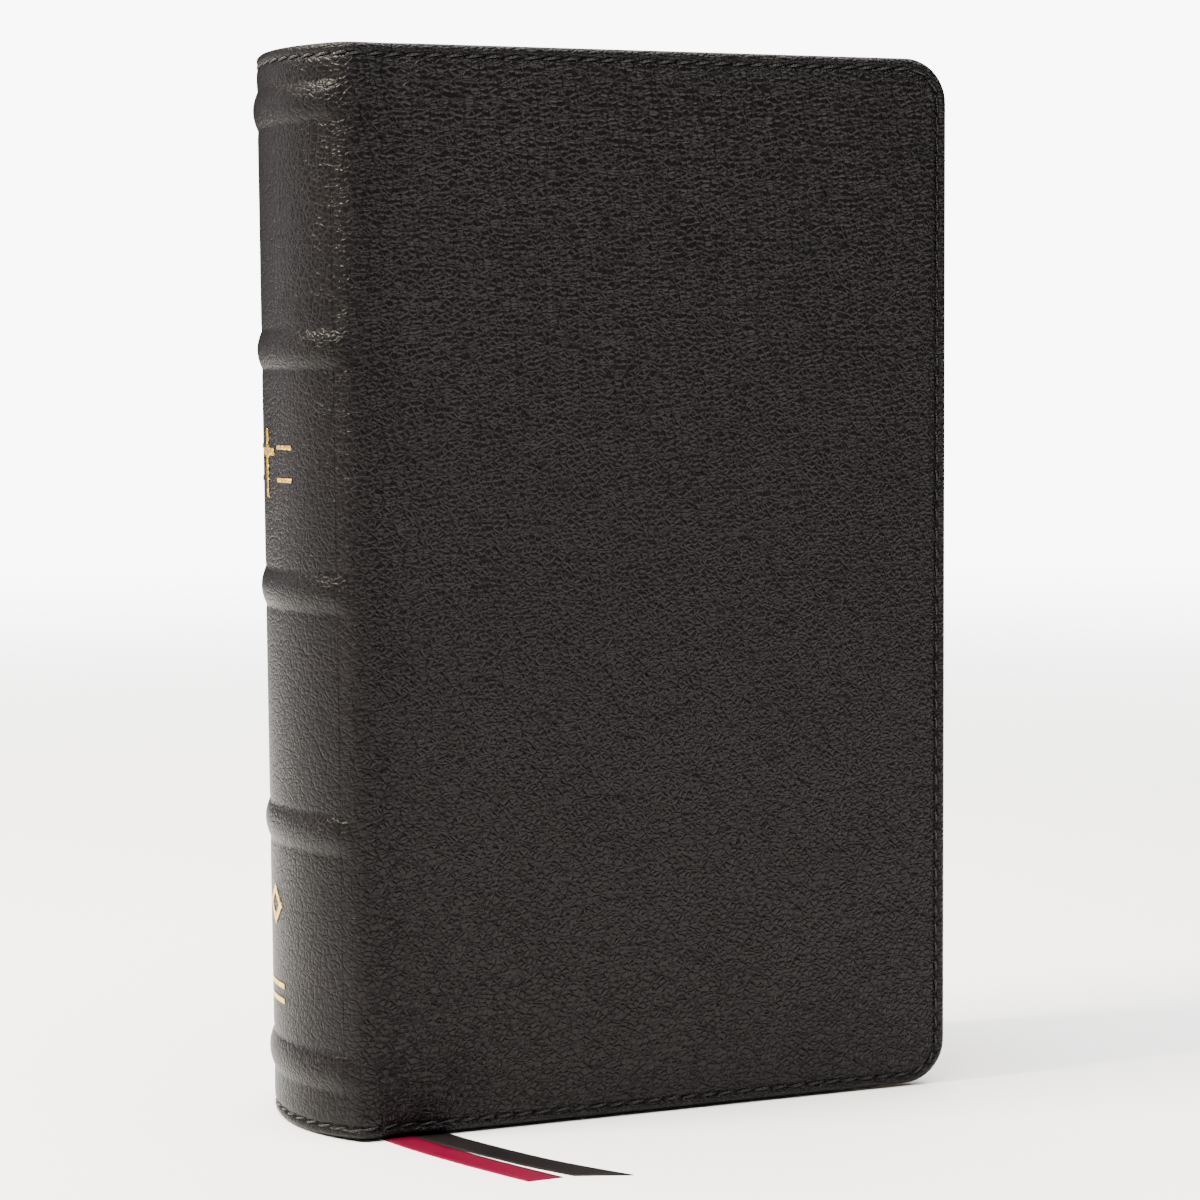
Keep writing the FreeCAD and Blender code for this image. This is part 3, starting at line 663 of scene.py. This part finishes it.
def stitch_tree():
    tree, sizes, end = start_tree("sewn_row", ["Stitch length", "Thread width", "Slant"])

    def scaled(name, factor):
        made = node(tree, "ShaderNodeMath", {"operation": "MULTIPLY"})
        tree.links.new(sizes[name], made.inputs[0])
        made.inputs[1].default_value = factor
        return made.outputs["Value"]

    ends = scaled("Thread width", -0.62)
    start = node(tree, "ShaderNodeCombineXYZ", X=scaled("Stitch length", -0.5), Z=ends)
    top = node(tree, "ShaderNodeCombineXYZ", Z=scaled("Thread width", 1.1))
    stop = node(tree, "ShaderNodeCombineXYZ", X=scaled("Stitch length", 0.5), Z=ends)
    bow = node(tree, "GeometryNodeCurveQuadraticBezier", Resolution=7, Start=start.outputs["Vector"],
               Middle=top.outputs["Vector"], End=stop.outputs["Vector"])
    ring = node(tree, "GeometryNodeCurvePrimitiveCircle", Resolution=7,
                Radius=scaled("Thread width", 0.5))
    thread = node(tree, "GeometryNodeCurveToMesh", Curve=bow.outputs["Curve"],
                  Profile_Curve=ring.outputs["Curve"], Fill_Caps=True)
    finish_tree(tree, sizes, end, thread.outputs["Mesh"], sizes["Slant"])
    return tree


def points_with_arrows(name, places, alongs, outwards):
    made = new_object(name, places, [])
    for label, arrows in (("along", alongs), ("outward", outwards)):
        store = made.data.attributes.new(label, "FLOAT_VECTOR", "POINT")
        store.data.foreach_set("vector", np.array(arrows, np.float32).ravel())
    return made


def grow(name, tree, points, material, sizes):
    """Runs a tree on points and keeps the result as a plain mesh at the origin."""
    modifier = points.modifiers.new(tree.name, "NODES")
    modifier.node_group = tree
    for item in tree.interface.items_tree:
        if item.item_type == "SOCKET" and item.in_out == "INPUT":
            if item.name in sizes:
                modifier[item.identifier] = sizes[item.name]
            elif item.name == "Material":
                modifier[item.identifier] = material
    ready = points.evaluated_get(bpy.context.evaluated_depsgraph_get())
    mesh = bpy.data.meshes.new_from_object(ready)
    mesh.name = name
    points.modifiers.remove(modifier)
    bpy.data.objects.remove(points)
    made = bpy.data.objects.new(name, mesh)
    bpy.context.scene.collection.objects.link(made)
    print(f"{name}: {len(mesh.polygons)} faces")
    return made


# %% [markdown]
# ## Finishes: leather, thread and foil
# Black leather isn't one black. What the eye reads is the grain: pebbles about 1.5 mm across with
# fine creases between them, pores, and a few longer wrinkles. Voronoi cells give the pebbles: the
# distance to a cell's edge is nothing at the crease, and a power below one turns it into a dome. The
# place is bent by a soft noise first, so that no cell has straight sides. Shade is painted into the
# creases: the colour is darker where the grain is low. The pattern reads the resting place that was
# stored on the mesh, so it doesn't swim when a cover opens.


# %% Shader helpers
def new_material(name):
    made = bpy.data.materials.new(name)
    made.use_nodes = True
    shader = made.node_tree.nodes["Principled BSDF"]
    return made, made.node_tree, shader


def place_from(tree, attribute):
    if attribute is None:
        return node(tree, "ShaderNodeTexCoord").outputs["Object"]
    return node(tree, "ShaderNodeAttribute", {"attribute_name": attribute}).outputs["Vector"]


def noise_of(tree, place, scale, detail=3.0, rough=0.5):
    return node(tree, "ShaderNodeTexNoise", Vector=place, Scale=scale, Detail=detail,
                Roughness=rough).outputs["Fac"]


def ramp(tree, value, stops):
    """A colour ramp: stops are (position, colour)."""
    made = node(tree, "ShaderNodeValToRGB", Fac=value)
    elements = made.color_ramp.elements
    while len(elements) < len(stops):
        elements.new(0.5)
    for element, (position, colour) in zip(elements, stops):
        element.position = position
        element.color = (*colour, 1)
    return made.outputs["Color"]


def spread(tree, value, low, high, to_low, to_high):
    return node(tree, "ShaderNodeMapRange", {"interpolation_type": "SMOOTHSTEP"}, Value=value,
                From_Min=low, From_Max=high, To_Min=to_low, To_Max=to_high).outputs["Result"]


def maths(tree, operation, a, b):
    made = node(tree, "ShaderNodeMath", {"operation": operation})
    for socket, value in zip(made.inputs, (a, b)):
        if isinstance(value, bpy.types.NodeSocket):
            tree.links.new(value, socket)
        else:
            socket.default_value = value
    return made.outputs["Value"]


def bend_place(tree, place, scale, amount):
    """The place, pushed about by a soft noise."""
    push = node(tree, "ShaderNodeTexNoise", Vector=place, Scale=scale, Detail=2.0).outputs["Color"]
    middle = node(tree, "ShaderNodeVectorMath", {"operation": "SUBTRACT"})
    tree.links.new(push, middle.inputs[0])
    middle.inputs[1].default_value = (0.5, 0.5, 0.5)
    small = node(tree, "ShaderNodeVectorMath", {"operation": "SCALE"}, Scale=amount)
    tree.links.new(middle.outputs["Vector"], small.inputs[0])
    moved = node(tree, "ShaderNodeVectorMath", {"operation": "ADD"})
    tree.links.new(place, moved.inputs[0])
    tree.links.new(small.outputs["Vector"], moved.inputs[1])
    return moved.outputs["Vector"]


# %% Leather finish
def grain_height(tree, place):
    """Domed pebbles with narrow creases, some long wrinkles and pores. Round the spine the leather
    is stretched, so they are flatter there."""
    laid = node(tree, "ShaderNodeMapping", Vector=place, Scale=(1.0, 1.0, 1.15)).outputs["Vector"]
    bent = bend_place(tree, laid, 500, 0.0005)
    pebble = node(tree, "ShaderNodeTexVoronoi", {"feature": "DISTANCE_TO_EDGE"}, Vector=bent,
                  Scale=740.0, Randomness=1.0).outputs["Distance"]
    wide = bend_place(tree, laid, 170, 0.0024)
    wrinkle = node(tree, "ShaderNodeTexVoronoi", {"feature": "DISTANCE_TO_EDGE"}, Vector=wide,
                   Scale=260.0, Randomness=1.0).outputs["Distance"]
    dome = maths(tree, "POWER", spread(tree, pebble, 0.0, 0.30, 0.0, 1.0), 0.55)
    crease = maths(tree, "POWER", spread(tree, wrinkle, 0.0, 0.10, 0.0, 1.0), 0.6)
    pores = maths(tree, "MULTIPLY", noise_of(tree, place, 2600, 2.0), 0.12)
    shape = maths(tree, "ADD", maths(tree, "MULTIPLY", dome, 0.50),
                  maths(tree, "MULTIPLY", crease, 0.38))
    along = node(tree, "ShaderNodeSeparateXYZ", Vector=place).outputs["X"]
    stretched = spread(tree, along, -0.066, -0.054, 0.45, 1.0)
    return maths(tree, "MULTIPLY", maths(tree, "ADD", shape, pores), stretched)


def leather(name, attribute):
    made, tree, shader = new_material(name)
    place = place_from(tree, attribute)
    height = grain_height(tree, place)
    bump = node(tree, "ShaderNodeBump", Strength=1.0, Distance=0.00034, Height=height)
    tree.links.new(bump.outputs["Normal"], shader.inputs["Normal"])
    slow = noise_of(tree, place, 45, 3.0)
    # Painted shade: the colour is darker in the creases, where the grain is low, and a slow noise adds
    # random tone.
    crease_shade_and_tone = maths(tree, "ADD", height, maths(tree, "MULTIPLY", slow, 0.5))
    crease_shade_and_tone_colour = ramp(tree, crease_shade_and_tone, [(0.40, (0.0008, 0.0005, 0.0006)), (0.95, (0.0058, 0.0042, 0.0048))])
    tree.links.new(crease_shade_and_tone_colour, shader.inputs["Base Color"])
    worn = maths(tree, "ADD", height, maths(tree, "MULTIPLY", slow, 0.4))
    tree.links.new(spread(tree, worn, 0.3, 1.3, 0.43, 0.25), shader.inputs["Roughness"])
    shader.inputs["Specular IOR Level"].default_value = 0.115
    return made


cover_leather = leather("cover_leather", "leather_place")
for skin in (front_skin, back_skin, spine_piece):
    skin.data.materials.append(cover_leather)


# %% Thread and foil finishes
def thread_finish(name, colour, gloss, twist):
    """Twisted thread: fine slanting ridges that follow each stitch's own length."""
    made, tree, shader = new_material(name)
    place = place_from(tree, "thread_place")
    ridges = node(tree, "ShaderNodeTexWave", {"wave_type": "BANDS", "bands_direction": "DIAGONAL"},
                  Vector=place, Scale=twist, Distortion=0.6).outputs["Fac"]
    bump = node(tree, "ShaderNodeBump", Strength=0.9, Distance=0.00008, Height=ridges)
    tree.links.new(bump.outputs["Normal"], shader.inputs["Normal"])
    shader.inputs["Base Color"].default_value = (*colour, 1)
    shader.inputs["Roughness"].default_value = gloss
    shader.inputs["Specular IOR Level"].default_value = 0.28
    return made


def gold_foil(name):
    made, tree, shader = new_material(name)
    place = place_from(tree, None)
    bent = bend_place(tree, place, 420, 0.0016)
    pebble = node(tree, "ShaderNodeTexVoronoi", {"feature": "DISTANCE_TO_EDGE"}, Vector=bent,
                  Scale=640.0).outputs["Distance"]
    height = maths(tree, "ADD", spread(tree, pebble, 0.0, 0.2, 0.0, 0.5),
                   maths(tree, "MULTIPLY", noise_of(tree, place, 3500), 0.35))
    bump = node(tree, "ShaderNodeBump", Strength=0.8, Distance=0.00030, Height=height)
    tree.links.new(bump.outputs["Normal"], shader.inputs["Normal"])
    worn = noise_of(tree, place, 900)
    tree.links.new(ramp(tree, worn, [(0.3, (0.42, 0.25, 0.030)), (0.7, (0.90, 0.60, 0.10))]),
                   shader.inputs["Base Color"])
    shader.inputs["Metallic"].default_value = 1.0
    shader.inputs["Roughness"].default_value = 0.34
    return made


black_thread = thread_finish("waxed_black_thread", (0.0022, 0.0018, 0.002), 0.30, 900.0)
foil = gold_foil("gold_foil")
for word in ("cross", "lozenge", "rules"):
    foil_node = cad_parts[f"spine_foil_{word}"]
    foil_node.data.materials.clear()
    foil_node.data.materials.append(foil)


# %% Sew the covers and the spine
THREAD_WIDTH = 0.66
THREAD_BED = 0.46
sewn_row = stitch_tree()
STITCH_SIZES = {"Stitch length": 0.86 * PITCH * MM, "Thread width": THREAD_WIDTH * MM,
                "Slant": math.radians(10)}


def arrows_at(middle, ahead, behind, lifted):
    along = Vector(ahead) - Vector(behind)
    outward = Vector(lifted) - Vector(middle)
    return along.normalized(), outward.normalized()


def sew_cover(side, word, bottom):
    _, pitch, place, _, count = cover_outline(bottom)

    def seam_point(travel, depth=THREAD_BED):
        (s, z), (inward_s, inward_z) = place(travel)
        return wrap(side, s + inward_s * THREAD_INSET, z + inward_z * THREAD_INSET, depth)

    places, alongs, outwards = [], [], []
    for number in range(count):
        travel = (number + 0.5) * pitch
        middle = seam_point(travel)
        along, outward = arrows_at(middle, seam_point(travel + 0.5), seam_point(travel - 0.5),
                                   seam_point(travel, THREAD_BED - 1))
        places.append(middle)
        alongs.append(along)
        outwards.append(outward)
    row = points_with_arrows(f"{word}_row", places, alongs, outwards)
    sewn = grow(f"{word}_stitches", sewn_row, row, black_thread, STITCH_SIZES)
    bend_at_joint(sewn)
    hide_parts(f"{word}_cover_stitching")


def sew_spine(word, z):
    whole = round(2 * ARC / PITCH)
    pitch = 2 * ARC / whole
    places, alongs, outwards = [], [], []
    for number in range(whole):
        c = -ARC + (number + 0.5) * pitch
        middle = wrap_round(c, z, THREAD_BED)
        along, outward = arrows_at(middle, wrap_round(c + 0.5, z, THREAD_BED),
                                   wrap_round(c - 0.5, z, THREAD_BED), wrap_round(c, z, THREAD_BED - 1))
        places.append(middle)
        alongs.append(along)
        outwards.append(outward)
    row = points_with_arrows(f"spine_{word}_row", places, alongs, outwards)
    sewn = grow(f"spine_{word}_stitches", sewn_row, row, black_thread, STITCH_SIZES)
    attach(sewn, "root")
    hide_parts(f"spine_{word}_stitching")


sew_cover(-1, "front", FRONT_LIFT)
sew_cover(1, "back", 0)
sew_spine("tail", THREAD_INSET)
sew_spine("head", HEIGHT - THREAD_INSET)


# %% [markdown]
# ## Leaves
# A section of thin paper is far too fine to model leaf by leaf, but its edge must not look like a
# plank. Each section is therefore a stack of thin bundles, each cut a hair longer or shorter than
# the next, and the gilding's material adds the finest lines. A bundle is built from upright
# columns, close together near the fold, because there a turning section has to bend.

# %% Paper and gilt edges
def paper(name, colour):
    made, tree, shader = new_material(name)
    place = place_from(tree, "leaf_place")
    fibres = noise_of(tree, place, 900, 5.0, 0.6)
    darker = tuple(value * 0.93 for value in colour)
    tree.links.new(ramp(tree, fibres, [(0.35, darker), (0.65, colour)]), shader.inputs["Base Color"])
    bump = node(tree, "ShaderNodeBump", Strength=0.25, Distance=0.00005, Height=fibres)
    tree.links.new(bump.outputs["Normal"], shader.inputs["Normal"])
    shader.inputs["Roughness"].default_value = 0.75
    shader.inputs["Specular IOR Level"].default_value = 0.3
    return made


def gilt_edge(name):
    """Gold leaf on cut paper: lines a few hundredths of a millimetre apart, stacked front to back."""
    made, tree, shader = new_material(name)
    place = place_from(tree, "leaf_place")
    stretched = node(tree, "ShaderNodeMapping", Vector=place, Scale=(40, 9000, 40)).outputs["Vector"]
    lines = noise_of(tree, stretched, 1.0, 4.0, 0.7)
    bump = node(tree, "ShaderNodeBump", Strength=0.6, Distance=0.00006, Height=lines)
    tree.links.new(bump.outputs["Normal"], shader.inputs["Normal"])
    tree.links.new(ramp(tree, lines, [(0.3, (0.45, 0.29, 0.10)), (0.7, (0.80, 0.58, 0.27))]),
                   shader.inputs["Base Color"])
    shader.inputs["Metallic"].default_value = 0.9
    shader.inputs["Roughness"].default_value = 0.38
    return made


bible_paper = paper("bible_paper", (0.80, 0.76, 0.66))
flyleaf_paper = paper("flyleaf_paper", (0.74, 0.69, 0.58))
gilding = gilt_edge("gilt_edge")

# %% A stack of leaf bundles
PAGE_CORNER = 7.0
FOLD_REACH = 25.0
jitter = np.random.default_rng(7)


def leaf_columns(back, fore, low, high):
    """Columns of one bundle: (x, lowest z, highest z), with two rounded corners at the fore-edge."""
    near_fold = np.linspace(back, HINGE_X + FOLD_REACH + 3, 30)
    field = np.linspace(HINGE_X + FOLD_REACH + 9, fore - PAGE_CORNER, 8)
    columns = [(x, low, high) for x in np.concatenate([near_fold, field])]
    for turn in np.linspace(0, math.pi / 2, 8)[1:]:
        drop = PAGE_CORNER * (1 - math.cos(turn))
        columns.append((fore - PAGE_CORNER * (1 - math.sin(turn)), low + drop, high - drop))
    return columns


def leaf_stack(name, near, far, back_near, back_far, fore, low, high, bundles):
    """Bundles from near to far (y), whose backs slant from back_near to back_far (x)."""
    points, faces, kinds = [], [], []
    pitch = (far - near) / bundles
    for number in range(bundles):
        trim, rise, drop = jitter.uniform(-0.10, 0.02), jitter.uniform(-0.06, 0), jitter.uniform(0, 0.06)
        first = len(points)
        layers = []
        for share in (number + 0.03, number + 0.97):
            slide = (share / bundles) * (back_far - back_near)
            columns = leaf_columns(back_near + slide, fore + slide + trim, low + drop, high + rise)
            layers.append((near + pitch * share, columns))
        for index in range(len(layers[0][1])):
            for y, columns in layers:
                x, z_low, z_high = columns[index]
                points.extend([(x * MM, y * MM, z_low * MM), (x * MM, y * MM, z_high * MM)])
        count = len(layers[0][1])
        for index in range(count - 1):
            a, b = first + 4 * index, first + 4 * index + 4
            faces.extend([(a, b, b + 1, a + 1), (a + 2, a + 3, b + 3, b + 2),
                          (a, a + 2, b + 2, b), (a + 1, b + 1, b + 3, a + 3)])
            kinds.extend([0, 0, 1, 1])
        end = first + 4 * (count - 1)
        faces.extend([(first, first + 1, first + 3, first + 2), (end, end + 2, end + 3, end + 1)])
        kinds.extend([0, 1])
    made = new_object(name, points, faces, smooth=False)
    made.data.polygons.foreach_set("material_index", kinds)
    remember_place(made, "leaf_place")
    return made


def add_leaf_materials(made, sheet):
    made.data.materials.append(sheet)
    made.data.materials.append(gilding)


# %% The text block and the turning sections
BLOCK_R = CENTRE_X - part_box("signature_10")[0].x / MM


def back_of_block(y):
    return CENTRE_X - math.sqrt(BLOCK_R ** 2 - y ** 2)


def section(number, bundles=5):
    low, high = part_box(f"signature_{number:02d}")
    near, far = low.y / MM, high.y / MM
    back_near, back_far = back_of_block(near), back_of_block(far)
    if number in (1, 20):
        back_near = back_far = HINGE_X
    fore_near = high.x / MM - max(back_far - back_near, 0)
    if number in (1, 20):
        fore_near = high.x / MM
    return leaf_stack(f"leaves_of_section_{number:02d}", near, far, back_near, back_far,
                      fore_near, low.z / MM, high.z / MM, bundles)


def turn_with(made, sheet, nodes):
    add_leaf_materials(made, sheet)
    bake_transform(made)
    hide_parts(*nodes)


for number in range(5, 19):
    made = section(number)
    add_leaf_materials(made, bible_paper)
    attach(made, "root")
    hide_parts(f"signature_{number:02d}")
for number in (1, 2, 3, 4, 19, 20):
    nodes = [f"signature_{number:02d}"]
    if number == 2:
        nodes.append("front_sewn_folds")
    if number == 19:
        nodes.append("back_sewn_folds")
    turn_with(section(number), bible_paper, nodes)
for side, word in ((-1, "front"), (1, "back")):
    low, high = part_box(f"{word}_flyleaf")
    near, far = low.y / MM, high.y / MM
    made = leaf_stack(f"{word}_flyleaf_sheet", near, far, HINGE_X, HINGE_X, high.x / MM,
                      low.z / MM, high.z / MM, 1)
    turn_with(made, flyleaf_paper, [f"{word}_flyleaf"])

# %% [markdown]
# ## Head band and tail band
# At both ends of the spine a cord wrapped in silk closes the gap between the leaves and the
# leather. It is again one thing repeated along a line, so it uses points with arrows: a ring
# of thread stands across the line at every half millimetre.


# %% Silk head bands
def wrap_tree():
    tree, sizes, end = start_tree("silk_wraps", ["Roll radius", "Thread width"])
    half = node(tree, "ShaderNodeMath", {"operation": "MULTIPLY"})
    tree.links.new(sizes["Thread width"], half.inputs[0])
    half.inputs[1].default_value = 0.5
    round_roll = node(tree, "GeometryNodeCurvePrimitiveCircle", Resolution=12,
                      Radius=sizes["Roll radius"])
    ring = node(tree, "GeometryNodeCurvePrimitiveCircle", Resolution=5, Radius=half.outputs["Value"])
    loop = node(tree, "GeometryNodeCurveToMesh", Curve=round_roll.outputs["Curve"],
                Profile_Curve=ring.outputs["Curve"])
    stood = node(tree, "GeometryNodeTransform", Geometry=loop.outputs["Mesh"],
                 Rotation=(0, math.radians(90), 0))
    finish_tree(tree, sizes, end, stood.outputs["Geometry"], 0.0)
    return tree


silk = thread_finish("headband_silk", (0.62, 0.50, 0.26), 0.45, 700.0)
silk_wraps = wrap_tree()
WRAP_STEP = 0.5
for word in ("head", "tail"):
    low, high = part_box(f"{word}_band")
    middle_z, roll = (low.z + high.z) / 2 / MM, (high.z - low.z) / 2 / MM
    radius = BLOCK_R - 1.0
    reach = math.asin((high.y / MM - 0.6) / BLOCK_R)
    count = int(2 * reach * radius / WRAP_STEP)
    places, alongs, outwards = [], [], []
    for turn in np.linspace(-reach, reach, count):
        x, y = CENTRE_X - radius * math.cos(turn), radius * math.sin(turn)
        places.append(Vector((x, y, middle_z)) * MM)
        alongs.append((math.sin(turn), math.cos(turn), 0))
        outwards.append((-math.cos(turn), math.sin(turn), 0))
    row = points_with_arrows(f"{word}_band_row", places, alongs, outwards)
    wrapped = grow(f"{word}_band_silk", silk_wraps, row, silk,
                   {"Roll radius": (roll - 0.3) * MM, "Thread width": 0.54 * MM})
    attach(wrapped, "root")
    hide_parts(f"{word}_band")

# %% [markdown]
# ## Ribbon satin
# Satin ribbon has fine ribs straight across it and a narrow woven edge. Both run in the ribbon's own
# UV map, so they follow every bend: V counts ribbon widths along, U goes from edge to edge.


# %% Ribbon finish
def satin(name, colour):
    made, tree, shader = new_material(name)
    weave = node(tree, "ShaderNodeUVMap", {"uv_map": "weave"}).outputs["UV"]
    stretched = node(tree, "ShaderNodeMapping", Vector=weave, Scale=(3.0, 26.0, 1.0)).outputs["Vector"]
    ribs = node(tree, "ShaderNodeTexWave", {"wave_type": "BANDS", "bands_direction": "Y"},
                Vector=stretched, Scale=1.0, Distortion=0.35).outputs["Fac"]
    threads = noise_of(tree, node(tree, "ShaderNodeMapping", Vector=weave,
                                  Scale=(60.0, 8.0, 1.0)).outputs["Vector"], 1.0)
    bump = node(tree, "ShaderNodeBump", Strength=0.5, Distance=0.00004,
                Height=maths(tree, "ADD", ribs, maths(tree, "MULTIPLY", threads, 0.5)))
    tree.links.new(bump.outputs["Normal"], shader.inputs["Normal"])
    darker = tuple(value * 0.8 for value in colour)
    tree.links.new(ramp(tree, threads, [(0.3, darker), (0.7, colour)]), shader.inputs["Base Color"])
    shader.inputs["Roughness"].default_value = 0.42
    shader.inputs["Specular IOR Level"].default_value = 0.15
    shader.inputs["Anisotropic"].default_value = 0.4
    return made


ribbon_crimson.data.materials.append(satin("crimson_satin", (0.115, 0.0, 0.016)))
ribbon_black.data.materials.append(satin("black_satin", (0.007, 0.0055, 0.006)))


# %% [markdown]
# ## Pieces inside
# Boards, lining, card, paper, gauze and sewing thread keep their design form. Most of them are never
# seen, but each gets the finish it would have on the bench, so the book still looks right when it
# is opened or taken apart.


# %% Finishes of the inner pieces
def plain_fibre(name, dark, light, scale, rough, depth):
    made, tree, shader = new_material(name)
    place = place_from(tree, None)
    fibres = noise_of(tree, place, scale, 6.0, 0.65)
    tree.links.new(ramp(tree, fibres, [(0.3, dark), (0.7, light)]), shader.inputs["Base Color"])
    bump = node(tree, "ShaderNodeBump", Strength=0.4, Distance=depth, Height=fibres)
    tree.links.new(bump.outputs["Normal"], shader.inputs["Normal"])
    shader.inputs["Roughness"].default_value = rough
    return made


board = plain_fibre("grey_board", (0.20, 0.18, 0.15), (0.36, 0.33, 0.28), 700, 0.85, 0.0001)
lining = plain_fibre("black_lining", (0.010, 0.009, 0.010), (0.020, 0.018, 0.019), 1600, 0.5, 0.00006)
card = plain_fibre("spine_card", (0.30, 0.25, 0.18), (0.48, 0.42, 0.32), 800, 0.85, 0.0001)
kraft = plain_fibre("kraft_paper", (0.26, 0.17, 0.09), (0.42, 0.29, 0.17), 600, 0.8, 0.00008)
gauze = plain_fibre("glued_gauze", (0.55, 0.52, 0.44), (0.80, 0.77, 0.68), 2400, 0.8, 0.0001)
cotton = plain_fibre("linen_thread", (0.70, 0.67, 0.58), (0.90, 0.87, 0.80), 3000, 0.7, 0.0001)
FINISH = {"front_cover_board": board, "back_cover_board": board, "front_cover_lining": lining,
          "back_cover_lining": lining, "spine_stiffener": card, "spine_kraft_lining": kraft,
          "spine_mull": gauze, "sewing_thread": cotton}
for name, finish in FINISH.items():
    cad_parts[name].data.materials.clear()
    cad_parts[name].data.materials.append(finish)
print(len(FINISH) + 3, "pieces keep their design form")

# %% [markdown]
# ## Table and light
# Black leather only shows its form by what it mirrors, so the light is made of white panels: a large
# one overhead for the table and the tops of the bands, one behind the spine side for the edge of the
# spine, and a small warm one at the upper left, which the ends of the bands catch. The table is
# matt white and fades out into the white studio before its edge.


# %% Floor
floor = new_object("floor", [(-3, -3, 0), (3, -3, 0), (3, 3, 0), (-3, 3, 0)], [(0, 1, 2, 3)], False)
white_table, tree, shader = new_material("white_table")
shader.inputs["Base Color"].default_value = (0.93, 0.93, 0.93, 1)
shader.inputs["Roughness"].default_value = 0.9
place = place_from(tree, None)
far = node(tree, "ShaderNodeVectorMath", {"operation": "LENGTH"})
tree.links.new(place, far.inputs[0])
tree.links.new(spread(tree, far.outputs["Value"], 0.35, 1.7, 1.0, 0.0), shader.inputs["Alpha"])
floor.data.materials.append(white_table)

# %% Studio light
world = bpy.data.worlds.new("studio")
bpy.context.scene.world = world
world.use_nodes = True
studio = world.node_tree
backdrop = studio.nodes["Background"]
backdrop.inputs["Color"].default_value = (1, 1, 1, 1)
seen = node(studio, "ShaderNodeLightPath").outputs["Is Camera Ray"]
studio.links.new(spread(studio, seen, 0.0, 1.0, 0.08, 9.0), backdrop.inputs["Strength"])


def panel(name, place, target, width, height, power, colour):
    light = bpy.data.lights.new(name, "AREA")
    light.shape = "RECTANGLE"
    light.size, light.size_y = width, height
    light.energy = power
    light.color = colour
    holder = bpy.data.objects.new(name, light)
    bpy.context.scene.collection.objects.link(holder)
    aim = (Vector(target) - Vector(place)).to_track_quat("-Z", "Y")
    holder.matrix_world = Matrix.Translation(place) @ aim.to_matrix().to_4x4()
    return holder


panel("overhead", (0, 0.1, 1.5), (0, 0.1, 0), 2.2, 2.2, 135, (1, 0.99, 0.98))
panel("left_edge", (-1.1, 0.9, 0.35), (-0.05, 0, 0.1), 0.9, 0.9, 8, (1, 0.93, 0.96))
panel("band_glint", (-0.75, 0.02, 0.95), (-0.06, 0, 0.12), 0.26, 0.26, 46, (1, 0.92, 0.76))
print("three light panels")
